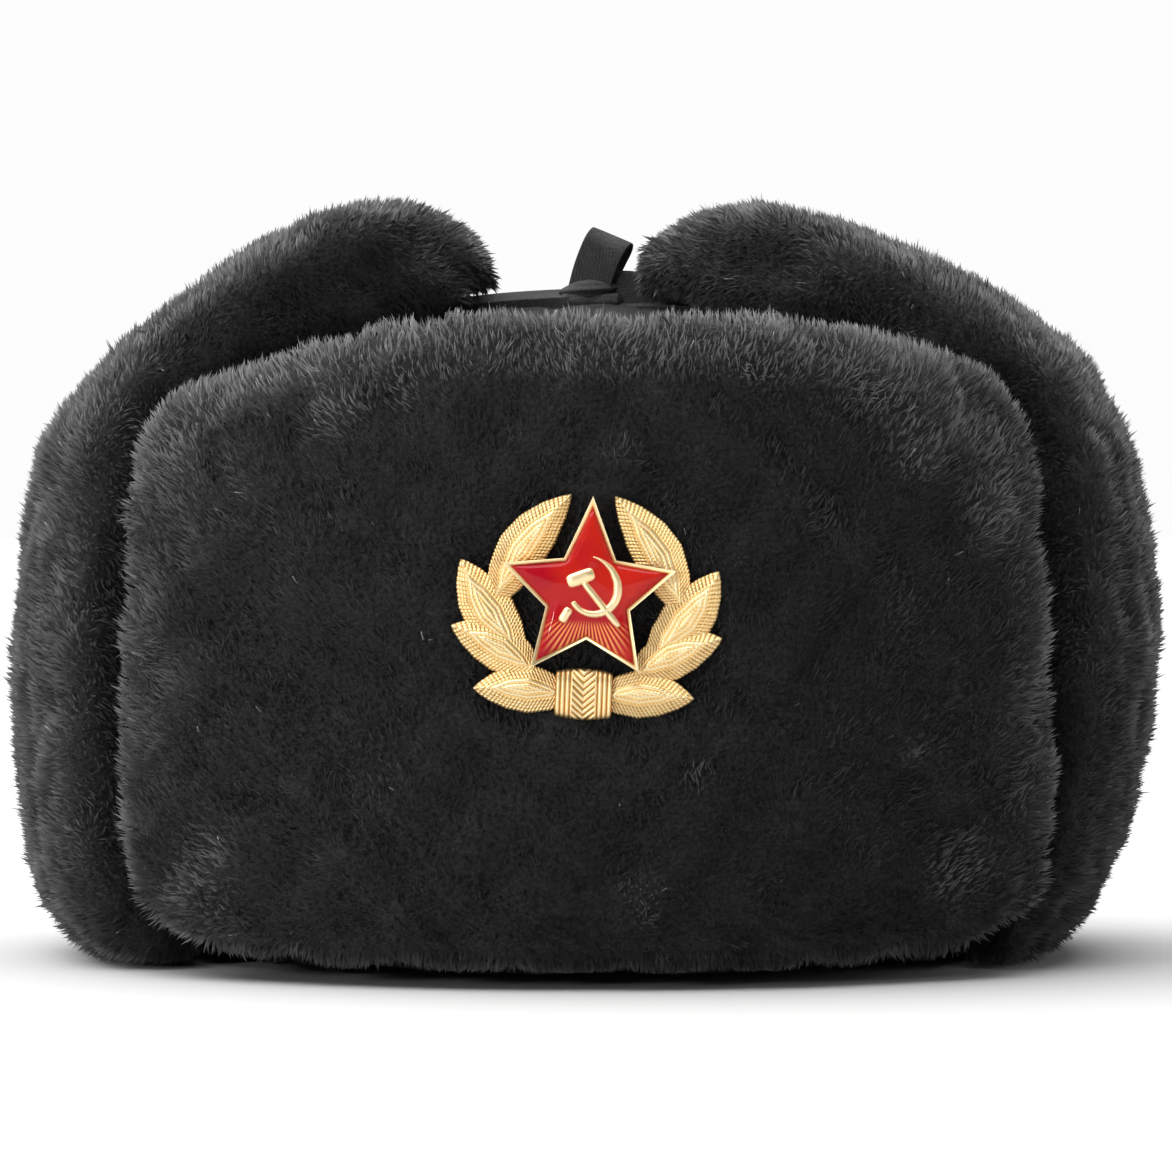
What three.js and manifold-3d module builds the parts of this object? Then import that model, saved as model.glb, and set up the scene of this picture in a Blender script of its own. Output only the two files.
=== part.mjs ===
// A fur ushanka that stands on its rim, with its ear flaps turned up over the crown and tied together there.
// An enamelled metal cockade sits on the forehead flap.
// Units are millimetres. +Z is up, the forehead faces -Y, and the lowest fur rests at z = 0.
import * as THREE from "three";
import { mergeVertices } from "three/addons/utils/BufferGeometryUtils.js";
import Module from "manifold-3d";

const wasm = await Module();
wasm.setup();

// Crown: a padded cloth dome on the head's oval.
const headWidth = 160;
const headLength = 198;
const crownWall = 4;
const crownHeight = 138;
const rimHeight = 2;
const planPower = 2.25; // 2 is a plain ellipse, and more is boxier
const domePower = 3.6;
const crownPanels = 4;
const seamDepth = 1.4;

// Fur flaps: backing and pile together, with the pile in shingled locks.
const lockRelief = 1.7;
const frontHeight = 133.8;
const frontLift = 2.5; // the forehead flap hangs this far clear of the floor
const frontThickness = 23;
const frontHalfWrap = 60; // degrees from the forehead's middle to the flap's side edge
const frontLean = 3;
const neckHeight = 118;
const neckThickness = 24;
const neckHalfWrap = 55;
const neckLean = 4;
const earBulge = 38.6; // from the crown's side to the widest fur of an ear flap
const earCrest = 24.6; // from the crown's top to the highest fur of an ear flap
const earFrontReach = 56; // from the middle of an ear flap's foot to its front edge
const earBackReach = 62;
const earAir = 11; // the widest hollow between the crown and an ear flap
const sewnGap = 0.7; // between the crown and the inner face of what is sewn to its rim

// Ties: one woven tape from each ear flap, knotted over the crown with one loop standing.
const tapeWidth = 9.5;
const tapeThickness = 1.3;
const tapeLap = 7; // under the ear flap's tip
const tapeRoll = 12; // degrees, its back edge up
const knotWidth = 13;
const knotDepth = 10;
const knotHeight = 4.3;
const knotOffset = 0.8;
const loopHeight = 10.4;
const loopDepth = 6.5;
const loopLean = 5.2; // how far its crest stands towards +X
const loopTilt = 24; // degrees at its crest
const loopTurn = -16; // degrees round the vertical, its +X end forwards
const tieGap = 0.35;

// Cockade: a stamped wreath, a star laid on it, and enamel in the star's tray.
const badgeHeight = 78.9; // the star's middle above the floor
const badgeOffset = 0.4;
const badgeTilt = -2.8;
const badgePress = 3.4; // how far the cockade presses into the pile
const leafEdge = 0.8;
const leafRidge = 1.2;
const starRadius = 18.3;
const starInnerRadius = 8.8;
const starPlate = 0.9;
const starRimWidth = 0.85;
const starRimHeight = 1;
const emblemHeight = 1.7;
const enamelThickness = 0.65;
const enamelGap = 0.12;
const badgeGap = 0.3;
const prongWidth = 3;
const prongThickness = 0.8;
const prongLength = 9;
const prongSpread = 17;
const seatMargin = 1.5;

// Rows of numbers under named columns.
function table(columns, rows) {
  return rows.map((row) => Object.fromEntries(columns.map((column, i) => [column, row[i]])));
}

// The forehead flap's upper and lower edge as shares of its height, from its left edge (-1) to its right (1).
const frontOutline = table(["across", "top", "bottom"], [
  [-1, 0.86, 0.03],
  [-0.94, 0.888, 0.016],
  [-0.85, 0.908, 0.01],
  [-0.7, 0.934, 0.006],
  [-0.5, 0.963, 0.002],
  [-0.2, 0.994, 0],
  [0.12, 0.986, 0],
  [0.3, 0.993, 0],
  [0.5, 0.982, 0.002],
  [0.7, 0.959, 0.005],
  [0.88, 0.938, 0.009],
  [0.95, 0.922, 0.014],
  [1, 0.895, 0.028],
]);

// The forehead flap from its foot (0) to its crest (1). Wrap is its width, and inner and outer are where its
// faces lie, as shares of its thickness.
const profileColumns = ["along", "wrap", "inner", "outer"];

const frontProfile = table(profileColumns, [
  [0, 0.82, 0.16, 0.6],
  [0.035, 0.9, 0, 0.86],
  [0.1, 0.96, 0, 0.97],
  [0.25, 0.985, 0, 1],
  [0.6, 0.965, 0, 1.01],
  [0.82, 0.975, 0, 0.98],
  [0.92, 0.985, 0.02, 0.87],
  [0.975, 0.98, 0.14, 0.7],
  [1, 0.955, 0.3, 0.5],
]);

// Hollows and swells of a flap's pile. Places and spans are shares of the flap, and depths of its thickness.
const dentColumns = ["across", "along", "wide", "tall", "depth"];

const frontDents = table(dentColumns, [
  [0.84, 0.86, 0.1, 0.12, 0.2],
  [0.66, 0.8, 0.09, 0.1, -0.07],
  [-0.3, 0.82, 0.14, 0.08, 0.07],
  [0.25, 0.84, 0.16, 0.07, 0.06],
  [0.62, 0.2, 0.14, 0.12, 0.08],
  [-0.72, 0.5, 0.1, 0.3, -0.05],
]);

const neckOutline = table(["across", "top", "bottom"], [
  [0, 1, 0],
  [0.4, 0.99, 0],
  [0.75, 0.96, 0.004],
  [0.92, 0.9, 0.015],
  [1, 0.8, 0.04],
]);

const neckProfile = table(profileColumns, [
  [0, 0.9, 0.16, 0.62],
  [0.04, 0.95, 0, 0.87],
  [0.12, 0.99, 0, 0.98],
  [0.4, 1, 0, 1.04],
  [0.75, 0.98, 0, 1],
  [0.9, 0.95, 0.02, 0.86],
  [0.97, 0.93, 0.14, 0.68],
  [1, 0.9, 0.3, 0.5],
]);

const neckDents = table(dentColumns, [
  [0, 0.6, 0.2, 0.3, 0.05],
  [0.55, 0.35, 0.15, 0.2, -0.05],
  [-0.5, 0.8, 0.16, 0.12, 0.06],
]);

// Each ear flap from its foot (0), up the side and over the crown to its tip (1). The inner face lies off
// the crown's dome at a turn in degrees from its rim, by a share of the ear air. The outer face's places are
// shares of the ears' half-spread and height, and front and back are shares of the two reaches. Splay is the
// outer face's extra reach, and bow is how closely the flap follows the crown's oval.
const earColumns = ["along", "turn", "air", "outerOut", "outerUp", "front", "back", "splay", "bow"];

const leftEarSections = table(earColumns, [
  [0, 0, 0.25, 0.85, 0, 0.9, 0.94, 0.22, 1],
  [0.053, 0.12, 0, 0.924, 0.031, 0.96, 0.98, 0.26, 1],
  [0.109, 0.8, 0.42, 0.968, 0.1, 0.99, 1, 0.28, 1],
  [0.17, 2.2, 0.75, 0.987, 0.19, 1, 1, 0.28, 1],
  [0.3, 9.5, 1, 1, 0.39, 1, 1, 0.27, 1],
  [0.433, 22, 1, 0.976, 0.59, 0.99, 0.98, 0.24, 1],
  [0.497, 30, 0.95, 0.952, 0.695, 0.97, 0.96, 0.18, 0.95],
  [0.58, 41, 0.8, 0.856, 0.79, 0.95, 0.92, 0.1, 0.85],
  [0.69, 55, 0.4, 0.68, 0.888, 0.93, 0.86, 0.05, 0.7],
  [0.797, 68.5, 0.18, 0.494, 0.965, 0.88, 0.76, 0.02, 0.55],
  [0.874, 77, 0.18, 0.348, 0.998, 0.79, 0.66, 0, 0.5],
  [0.94, 83.2, 0.34, 0.225, 0.968, 0.64, 0.52, 0, 0.45],
  [1, 86.4, 0.52, 0.158, 0.905, 0.42, 0.34, 0, 0.4],
]);

const rightEarSections = table(earColumns, [
  [0, 0, 0.25, 0.79, 0, 0.9, 0.94, 0.22, 1],
  [0.053, 0.12, 0, 0.855, 0.03, 0.96, 0.98, 0.26, 1],
  [0.109, 0.8, 0.42, 0.905, 0.085, 0.99, 1, 0.28, 1],
  [0.17, 2.2, 0.75, 0.95, 0.178, 1, 1, 0.28, 1],
  [0.3, 9.5, 1, 0.998, 0.37, 1, 1, 0.27, 1],
  [0.433, 22, 1, 0.983, 0.565, 0.99, 0.98, 0.24, 1],
  [0.497, 30, 0.95, 0.95, 0.675, 0.97, 0.96, 0.18, 0.95],
  [0.58, 41, 0.8, 0.872, 0.785, 0.95, 0.92, 0.1, 0.85],
  [0.69, 55, 0.4, 0.705, 0.878, 0.93, 0.86, 0.05, 0.7],
  [0.797, 68.5, 0.18, 0.508, 0.946, 0.88, 0.76, 0.02, 0.55],
  [0.874, 77.5, 0.18, 0.372, 0.984, 0.79, 0.66, 0, 0.5],
  [0.945, 84.5, 0.32, 0.19, 0.984, 0.62, 0.51, 0, 0.45],
  [1, 88.1, 0.52, 0.088, 0.925, 0.4, 0.34, 0, 0.4],
]);

// The wreath's leaves on the +U side, crest to foot, as shares of the star radius from the star's middle.
// The other side mirrors them.
const leaves = table(["rootU", "rootV", "tipU", "tipV", "halfWidth"], [
  [1, -0.05, 0.24, 1.08, 0.27],
  [0.76, -0.58, 1.4, 0.32, 0.28],
  [0.56, -0.83, 1.47, -0.4, 0.26],
  [0.2, -1.08, 1.2, -1.07, 0.235],
]);

// A leaf from root (0) to tip (1), as shares of its half-width and its ridge.
const leafSections = table(["along", "wide", "high"], [
  [0, 0.45, 0.4],
  [0.16, 0.78, 0.75],
  [0.4, 1, 1],
  [0.62, 0.88, 0.95],
  [0.82, 0.55, 0.75],
  [0.94, 0.24, 0.5],
  [1, 0.04, 0.2],
]);

// The binding at the wreath's foot, from its -X end (-1) to its +X end (1), as shares of its half-width.
const bindingSections = table(["along", "size"], [
  [-1, 0.84],
  [-0.82, 1],
  [-0.64, 0.9],
  [-0.46, 1.02],
  [-0.4, 1.12],
  [0, 1.16],
  [0.4, 1.12],
  [0.46, 1.02],
  [0.64, 0.9],
  [0.82, 1],
  [1, 0.84],
]);

// The knot from its -X end (-1) to its +X end (1), as shares of its depth and height.
const knotSections = table(["along", "size"], [
  [-1, 0.72],
  [-0.86, 0.94],
  [-0.3, 1],
  [0.12, 0.9],
  [0.5, 1],
  [0.9, 0.93],
  [1, 0.7],
]);

// The sickle's blade, clockwise from its point, in degrees and as shares of the star radius.
const sickleMiddle = { u: 0.075, v: 0.06 };
const sickleBlade = table(["angle", "outer", "thick"], [
  [97, 0.37, 0.012],
  [70, 0.33, 0.045],
  [40, 0.305, 0.07],
  [8, 0.295, 0.082],
  [-25, 0.295, 0.08],
  [-58, 0.3, 0.072],
  [-92, 0.305, 0.062],
  [-125, 0.31, 0.055],
  [-150, 0.31, 0.055],
]);

// The sickle's grip, the hammer's shaft and its head, as bars whose sizes are shares of the star radius.
const emblemBars = table(["startU", "startV", "endU", "endV", "wide"], [
  [-0.18, -0.1, -0.25, -0.26, 0.075],
  [-0.06, 0.17, 0.33, -0.28, 0.055],
  [-0.2, 0.13, 0.05, 0.27, 0.115],
]);

const crownHalfWidth = headWidth / 2 + crownWall;
const crownHalfLength = headLength / 2 + crownWall;
const earHalfSpread = crownHalfWidth + earBulge;
const earHeight = crownHeight + earCrest;
const radians = THREE.MathUtils.degToRad;
const lerp = THREE.MathUtils.lerp;

// The value of a table's column where its column `by` reaches `at`, on a smooth curve through the rows.
function readTable(table, by, column, at) {
  const past = table.findIndex((row) => row[by] > at);
  const last = table.length - 1;
  const low = Math.max(0, (past < 0 ? last : past) - 1);
  const slope = (from, to) => (table[to][column] - table[from][column]) / (table[to][by] - table[from][by]);
  const span = table[low + 1][by] - table[low][by];
  const share = THREE.MathUtils.clamp((at - table[low][by]) / span, 0, 1);
  const enter = slope(Math.max(0, low - 1), low + 1) * span;
  const leave = slope(low, Math.min(last, low + 2)) * span;
  const square = share * share;
  const cube = square * share;
  return (
    (2 * cube - 3 * square + 1) * table[low][column] +
    (cube - 2 * square + share) * enter +
    (3 * square - 2 * cube) * table[low + 1][column] +
    (cube - square) * leave
  );
}

// A repeatable value from -1 to 1 for a row and column, so that no two locks of the pile are alike.
function scatter(row, column) {
  const wave = Math.sin(row * 12.9898 + column * 78.233) * 43758.5453;
  return 2 * (wave - Math.floor(wave)) - 1;
}

// A closed geometry from points and triangles, turned to face outwards.
function closedGeometry(points, triangles) {
  let volume = 0;
  for (const [a, b, c] of triangles) volume += points[a].dot(points[b].clone().cross(points[c]));
  const facing = volume < 0 ? triangles.map(([a, b, c]) => [a, c, b]) : triangles;
  const geometry = new THREE.BufferGeometry().setFromPoints(points);
  geometry.setIndex(facing.flat());
  return geometry;
}

// The triangles that fill a ring from its own points, turning the way that the ring turns.
function fillRing(ring) {
  const normal = new THREE.Vector3();
  ring.forEach((point, i) => normal.add(point.clone().cross(ring[(i + 1) % ring.length])));
  const flatten = new THREE.Quaternion().setFromUnitVectors(normal.normalize(), new THREE.Vector3(0, 0, 1));
  const outline = ring.map((point) => {
    const { x, y } = point.clone().applyQuaternion(flatten);
    return new THREE.Vector2(x, y);
  });
  return THREE.ShapeUtils.triangulateShape(outline, []).map(([a, b, c]) => {
    const turn = outline[b].clone().sub(outline[a]).cross(outline[c].clone().sub(outline[a]));
    return turn < 0 ? [a, c, b] : [a, b, c];
  });
}

// A closed solid through rings of equally many points, filled over its first and its last ring.
function loft(rings) {
  const count = rings[0].length;
  const triangles = fillRing(rings[0]).map(([a, b, c]) => [a, c, b]);
  for (let ring = 0; ring + 1 < rings.length; ring++) {
    for (let i = 0; i < count; i++) {
      const here = ring * count;
      const next = (i + 1) % count;
      triangles.push([here + i, here + next, here + count + next]);
      triangles.push([here + i, here + count + next, here + count + i]);
    }
  }
  const last = (rings.length - 1) * count;
  for (const face of fillRing(rings.at(-1))) triangles.push(face.map((i) => last + i));
  return closedGeometry(rings.flat(), triangles);
}

// A flat outline pushed from one level to another, as a geometry.
function plate(outline, from, to) {
  const shape = new THREE.Shape(outline.map(({ u, v }) => new THREE.Vector2(u, v)));
  return new THREE.ExtrudeGeometry(shape, { depth: to - from, bevelEnabled: false }).translate(0, 0, from);
}

// A geometry as a solid that can be joined and cut.
function solidOf(geometry) {
  const bare = new THREE.BufferGeometry();
  bare.setAttribute("position", geometry.getAttribute("position"));
  bare.setIndex(geometry.getIndex());
  const merged = mergeVertices(bare, 1e-4);
  return new wasm.Manifold(
    new wasm.Mesh({
      numProp: 3,
      vertProperties: new Float32Array(merged.getAttribute("position").array),
      triVerts: new Uint32Array(merged.getIndex().array),
    }),
  );
}

function geometryOf(solid) {
  const mesh = solid.getMesh();
  const geometry = new THREE.BufferGeometry();
  geometry.setAttribute("position", new THREE.BufferAttribute(new Float32Array(mesh.vertProperties), 3));
  geometry.setIndex(new THREE.BufferAttribute(new Uint32Array(mesh.triVerts), 1));
  return geometry;
}

// A point of the head's oval at an angle from the forehead (-Y), turning towards +X.
function ovalPoint(angle, halfWidth, halfLength, z) {
  const swell = (value) => Math.sign(value) * Math.abs(value) ** (2 / planPower);
  return new THREE.Vector3(halfWidth * swell(Math.sin(angle)), -halfLength * swell(Math.cos(angle)), z);
}

// How far the crown's side has curved in at a distance from the middle of the ear.
function crownDrop(y) {
  const share = Math.min(1, Math.abs(y) / crownHalfLength);
  return crownHalfWidth * (1 - (1 - share ** planPower) ** (1 / planPower));
}

// The height of the crown's outer face above a place in plan.
function crownTop(x, y) {
  const wide = Math.abs(x / crownHalfWidth) ** planPower;
  const long = Math.abs(y / crownHalfLength) ** planPower;
  const share = (wide + long) ** (1 / planPower);
  return rimHeight + (crownHeight - rimHeight) * (1 - share ** domePower) ** (1 / domePower);
}

// A point of the crown's upright section, out from the middle of the hat and up, at a turn from its rim and
// off its face by a gap.
function domeSection(turn, halfSpan, height, gap) {
  const out = Math.cos(turn);
  const up = Math.sin(turn);
  const power = 2 / domePower;
  const normal = new THREE.Vector2(out ** (2 - power) / halfSpan, up ** (2 - power) / height).normalize();
  return new THREE.Vector2(halfSpan * out ** power, height * up ** power).addScaledVector(normal, gap);
}

function crownGeometry() {
  const columns = 32;
  const levels = 9;
  const buttonLevel = 8.9; // close round the middle of the top
  const ring = (level, inset) => {
    const share = domeSection((Math.PI / 2) * (level / levels), 1, 1, 0);
    const z = rimHeight + share.y * (crownHeight - inset - rimHeight);
    return Array.from({ length: columns }, (_, column) => {
      const seam = column % (columns / crownPanels) === columns / crownPanels / 2;
      const shrink = inset || (seam && level > 0 ? seamDepth : 0);
      const angle = (2 * Math.PI * column) / columns;
      return ovalPoint(angle, (crownHalfWidth - shrink) * share.x, (crownHalfLength - shrink) * share.x, z);
    });
  };
  const outside = Array.from({ length: levels }, (_, step) => ring(levels - 1 - step, 0));
  const inside = Array.from({ length: levels }, (_, level) => ring(level, crownWall));
  return loft([ring(buttonLevel, 0), ...outside, ...inside, ring(buttonLevel, crownWall)]);
}

// A fur flap: a thick panel with rows of pointed locks that overlap on its outside. Its place is a point at
// a share across from its left to its right edge (-1 to 1), along from its foot to its end (0 to 1), and in
// depth from its inner to its outer face (0 to 1).
function furPanel(place, thickness, lockRows, lockColumns) {
  const innerColumns = 12;
  const edgeShare = 0.955; // across, where a face ends and the rounded edge begins
  const edgeDepths = [0.76, 0.26];
  const footShares = [0, 0.035];
  const [firstLock, lastLock] = [0.09, 0.9];
  const [ragShare, ragScatter] = [0.955, 0.012];
  const endShares = [0.985, 1];
  const pitch = (lastLock - firstLock) / lockRows;
  const tuck = 0.12; // of the pitch: how far a row starts under the tips of the last
  const [lockShift, shiftScatter] = [0.2, 0.06]; // of the pitch: how far tips end up and down
  const relief = lockRelief / thickness;
  const [fullLock, flatLock, sunkLock, proudScatter] = [1, 0.15, -0.25, 0.3]; // of the relief
  const ring = (along, outerPoint) => {
    const outer = Array.from({ length: lockColumns + 1 }, (_, column) => {
      const across = lerp(-edgeShare, edgeShare, column / lockColumns);
      return outerPoint(across, column);
    });
    const inner = Array.from({ length: innerColumns + 1 }, (_, column) =>
      place(lerp(edgeShare, -edgeShare, column / innerColumns), along, 0),
    );
    const right = edgeDepths.map((depth) => place(1, along, depth));
    const left = edgeDepths.map((depth) => place(-1, along, depth)).reverse();
    return [...outer, ...right, ...inner, ...left];
  };
  const plainRing = (along) => ring(along, (across) => place(across, along, 1));
  const lockRing = (row, isTip) => {
    const start = firstLock + (row - (isTip ? 0 : tuck)) * pitch;
    return ring(start, (across, column) => {
      const isFull = (row + column) % 2 === 0;
      const shift = (isFull ? -lockShift : lockShift) + shiftScatter * scatter(row, column);
      const proud = (isFull ? fullLock : flatLock) * (1 + proudScatter * scatter(column, row));
      return place(across, start + shift * pitch, 1 + relief * (isTip ? proud : sunkLock));
    });
  };
  const raggedRing = ring(ragShare, (across, column) =>
    place(across, ragShare + ragScatter * scatter(lockRows, column), 1),
  );
  const rings = footShares.map(plainRing);
  for (let row = 0; row <= lockRows; row++) rings.push(lockRing(row, false), lockRing(row, true));
  return loft([...rings, raggedRing, ...endShares.map(plainRing)]);
}

// The push of a table of dents and swells at a place on a flap.
function dentDepth(dents, across, along) {
  return dents.reduce((sum, dent) => {
    const off = ((across - dent.across) / dent.wide) ** 2 + ((along - dent.along) / dent.tall) ** 2;
    return sum + dent.depth * Math.exp(-off);
  }, 0);
}

// A place on a flap that stands round the crown from `facing`, an angle from the forehead.
function placeRound(size, facing, across, outlineAt, along, depth) {
  const height = size.height;
  const top = height * readTable(size.outline, "across", "top", outlineAt);
  const bottom = height * readTable(size.outline, "across", "bottom", outlineAt);
  const angle = facing + radians(size.halfWrap) * across * readTable(size.profile, "along", "wrap", along);
  const inner = size.thickness * readTable(size.profile, "along", "inner", along);
  const swell = readTable(size.profile, "along", "outer", along) - dentDepth(size.dents, across, along);
  const offset = sewnGap + lerp(inner, size.thickness * swell, depth) - size.lean * along ** 3;
  const z = size.lift + Math.max(0, lerp(bottom, top, along));
  return ovalPoint(angle, crownHalfWidth + offset, crownHalfLength + offset, z);
}

const frontSize = {
  height: frontHeight,
  lift: frontLift,
  thickness: frontThickness,
  halfWrap: frontHalfWrap,
  lean: frontLean,
  outline: frontOutline,
  profile: frontProfile,
  dents: frontDents,
};

const neckSize = {
  height: neckHeight,
  lift: 0,
  thickness: neckThickness,
  halfWrap: neckHalfWrap,
  lean: neckLean,
  outline: neckOutline,
  profile: neckProfile,
  dents: neckDents,
};

const placeFront = (across, along, depth) => placeRound(frontSize, 0, across, across, along, depth);
const placeNeck = (across, along, depth) =>
  placeRound(neckSize, Math.PI, across, Math.abs(across), along, depth);

// A place on an ear flap. Side is -1 for the flap at -X and 1 for the flap at +X.
function placeEar(sections, side, across, along, depth) {
  const read = (column) => readTable(sections, "along", column, along);
  const gap = sewnGap + earAir * read("air");
  const inner = domeSection(radians(Math.max(0, read("turn"))), crownHalfWidth, crownHeight, gap);
  const outer = new THREE.Vector2(earHalfSpread * read("outerOut"), earHeight * read("outerUp"));
  const outwards = outer.clone().sub(inner).normalize();
  const edges = [-earFrontReach * read("front"), earBackReach * read("back")];
  const y = lerp(...edges, (across + 1) / 2) * (1 + read("splay") * depth);
  const spot = inner.lerp(outer, depth).addScaledVector(outwards, -crownDrop(y) * read("bow"));
  return new THREE.Vector3(side * spot.x, y, Math.max(0, spot.y));
}

const earThickness = earHalfSpread * 0.22;
const placeLeftEar = (across, along, depth) => placeEar(leftEarSections, -1, across, along, depth);
const placeRightEar = (across, along, depth) => placeEar(rightEarSections, 1, across, along, depth);

// A flat tape through stations, each with its middle point and the direction of the tape's width there.
function tapeGeometry(stations) {
  const last = stations.length - 1;
  const rings = stations.map(({ point, across }, i) => {
    const travel = stations[Math.min(i + 1, last)].point.clone().sub(stations[Math.max(i - 1, 0)].point);
    const up = across.clone().cross(travel).normalize().multiplyScalar(tapeThickness / 2);
    const side = across.clone().multiplyScalar(tapeWidth / 2);
    return [
      point.clone().sub(side).sub(up),
      point.clone().add(side).sub(up),
      point.clone().add(side).add(up),
      point.clone().sub(side).add(up),
    ];
  });
  return loft(rings);
}

const knotBase = crownTop(knotOffset, 0) + tieGap;

// The tape from under the tip of one ear flap, along the top of the crown to the knot.
function tieTape(sections, side) {
  const steps = 6;
  const tip = side * earHalfSpread * sections.at(-1).outerOut;
  const end = knotOffset + side * (knotWidth / 2 + tieGap);
  const across = new THREE.Vector3(0, Math.cos(radians(tapeRoll)), Math.sin(radians(tapeRoll)));
  const rise = tieGap + (tapeThickness + tapeWidth * across.z) / 2;
  const stations = Array.from({ length: steps + 1 }, (_, step) => {
    const x = lerp(tip + side * tapeLap, end, step / steps);
    return { point: new THREE.Vector3(x, 0, crownTop(x, 0) + rise), across };
  });
  return tapeGeometry(stations);
}

// The knot: a low rounded bundle across the tapes.
function knotGeometry() {
  const sides = 12;
  const swell = (value) => Math.sign(value) * Math.abs(value) ** 0.6;
  const rings = knotSections.map(({ along, size }) =>
    Array.from({ length: sides }, (_, i) => {
      const turn = (2 * Math.PI * i) / sides;
      const y = (knotDepth / 2) * size * swell(Math.cos(turn));
      const z = (knotHeight / 2) * (1 + size * swell(Math.sin(turn)));
      return new THREE.Vector3(knotOffset + (along * knotWidth) / 2, y, knotBase + z);
    }),
  );
  return loft(rings);
}

// The standing loop of the bow: the tape rises from the knot, folds over and comes down behind.
function loopGeometry() {
  const foldSteps = 10;
  const half = (loopDepth - tapeThickness) / 2;
  const crest = loopHeight - tapeThickness / 2 - half;
  const outline = [
    { y: -half * 0.55, z: 0 },
    { y: -half * 0.9, z: crest * 0.5 },
  ];
  for (let step = 0; step <= foldSteps; step++) {
    const turn = (Math.PI * step) / foldSteps;
    outline.push({ y: -half * Math.cos(turn), z: crest + half * Math.sin(turn) });
  }
  outline.push({ y: half * 0.9, z: crest * 0.5 }, { y: half * 0.55, z: 0 });
  const upright = new THREE.Vector3(0, 0, 1);
  const forwards = new THREE.Vector3(0, 1, 0);
  const stations = outline.map(({ y, z }) => {
    const rise = z / loopHeight;
    const across = new THREE.Vector3(1, 0, 0).applyAxisAngle(forwards, radians(loopTilt) * rise);
    const point = new THREE.Vector3(loopLean * rise, y, z).applyAxisAngle(upright, radians(loopTurn));
    return { point, across: across.applyAxisAngle(upright, radians(loopTurn)) };
  });
  const foot = knotBase + knotHeight + tieGap + tapeThickness / 2;
  return tapeGeometry(stations).translate(knotOffset, 0, foot);
}

// Cockade geometries lie in a plane of their own: u to the wearer's left, v up, and w out of its face.
function leafSolid({ rootU, rootV, tipU, tipV, halfWidth }, side) {
  const root = new THREE.Vector3(side * rootU * starRadius, rootV * starRadius, 0);
  const tip = new THREE.Vector3(side * tipU * starRadius, tipV * starRadius, 0);
  const out = tip.clone().sub(root).normalize().cross(new THREE.Vector3(0, 0, 1));
  const rings = leafSections.map(({ along, wide, high }) => {
    const middle = root.clone().lerp(tip, along);
    const reach = out.clone().multiplyScalar(halfWidth * starRadius * wide);
    const raised = (point, w) => point.clone().setZ(w);
    return [
      raised(middle.clone().sub(reach), 0),
      raised(middle.clone().sub(reach), leafEdge),
      raised(middle, leafEdge + leafRidge * high),
      raised(middle.clone().add(reach), leafEdge),
      raised(middle.clone().add(reach), 0),
    ];
  });
  return solidOf(loft(rings));
}

// The ribbon that binds the wreath at its foot: a rounded bar with raised bands.
function bindingSolid() {
  const halfLength = 0.3 * starRadius;
  const halfWidth = 0.26 * starRadius;
  const middleV = -1.08 * starRadius;
  const rings = bindingSections.map(({ along, size }) => {
    const u = along * halfLength;
    const thick = (leafEdge + leafRidge) * 1.12 * size;
    return [
      new THREE.Vector3(u, middleV - halfWidth * size, 0),
      new THREE.Vector3(u, middleV - halfWidth * size, thick * 0.5),
      new THREE.Vector3(u, middleV - halfWidth * size * 0.6, thick),
      new THREE.Vector3(u, middleV + halfWidth * size * 0.6, thick),
      new THREE.Vector3(u, middleV + halfWidth * size, thick * 0.5),
      new THREE.Vector3(u, middleV + halfWidth * size, 0),
    ];
  });
  return solidOf(loft(rings));
}

// A prong on the cockade's back, or its slot in the flap when grown.
function prongSolid(side, grow) {
  const size = [prongWidth + 2 * grow, prongThickness + 2 * grow, prongLength + grow];
  const box = new THREE.BoxGeometry(...size);
  return solidOf(box.translate(side * prongSpread, -0.1 * starRadius, leafEdge / 2 - size[2] / 2));
}

function wreathGeometry() {
  const pieces = [bindingSolid(), prongSolid(-1, 0), prongSolid(1, 0)];
  for (const leaf of leaves) pieces.push(leafSolid(leaf, -1), leafSolid(leaf, 1));
  return geometryOf(wasm.Manifold.union(pieces));
}

// A five-pointed star's outline, drawn in from its edges by an inset.
function starOutline(inset) {
  const tip = new THREE.Vector2(starRadius, 0);
  const notch = new THREE.Vector2(starInnerRadius, 0).rotateAround(new THREE.Vector2(), Math.PI / 5);
  const edgeDistance = Math.abs(tip.cross(notch)) / tip.distanceTo(notch);
  const scale = (edgeDistance - inset) / edgeDistance;
  return Array.from({ length: 10 }, (_, i) => {
    const radius = scale * (i % 2 ? starInnerRadius : starRadius);
    const angle = Math.PI / 2 + (i * Math.PI) / 5;
    return { u: radius * Math.cos(angle), v: radius * Math.sin(angle) };
  });
}

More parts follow.
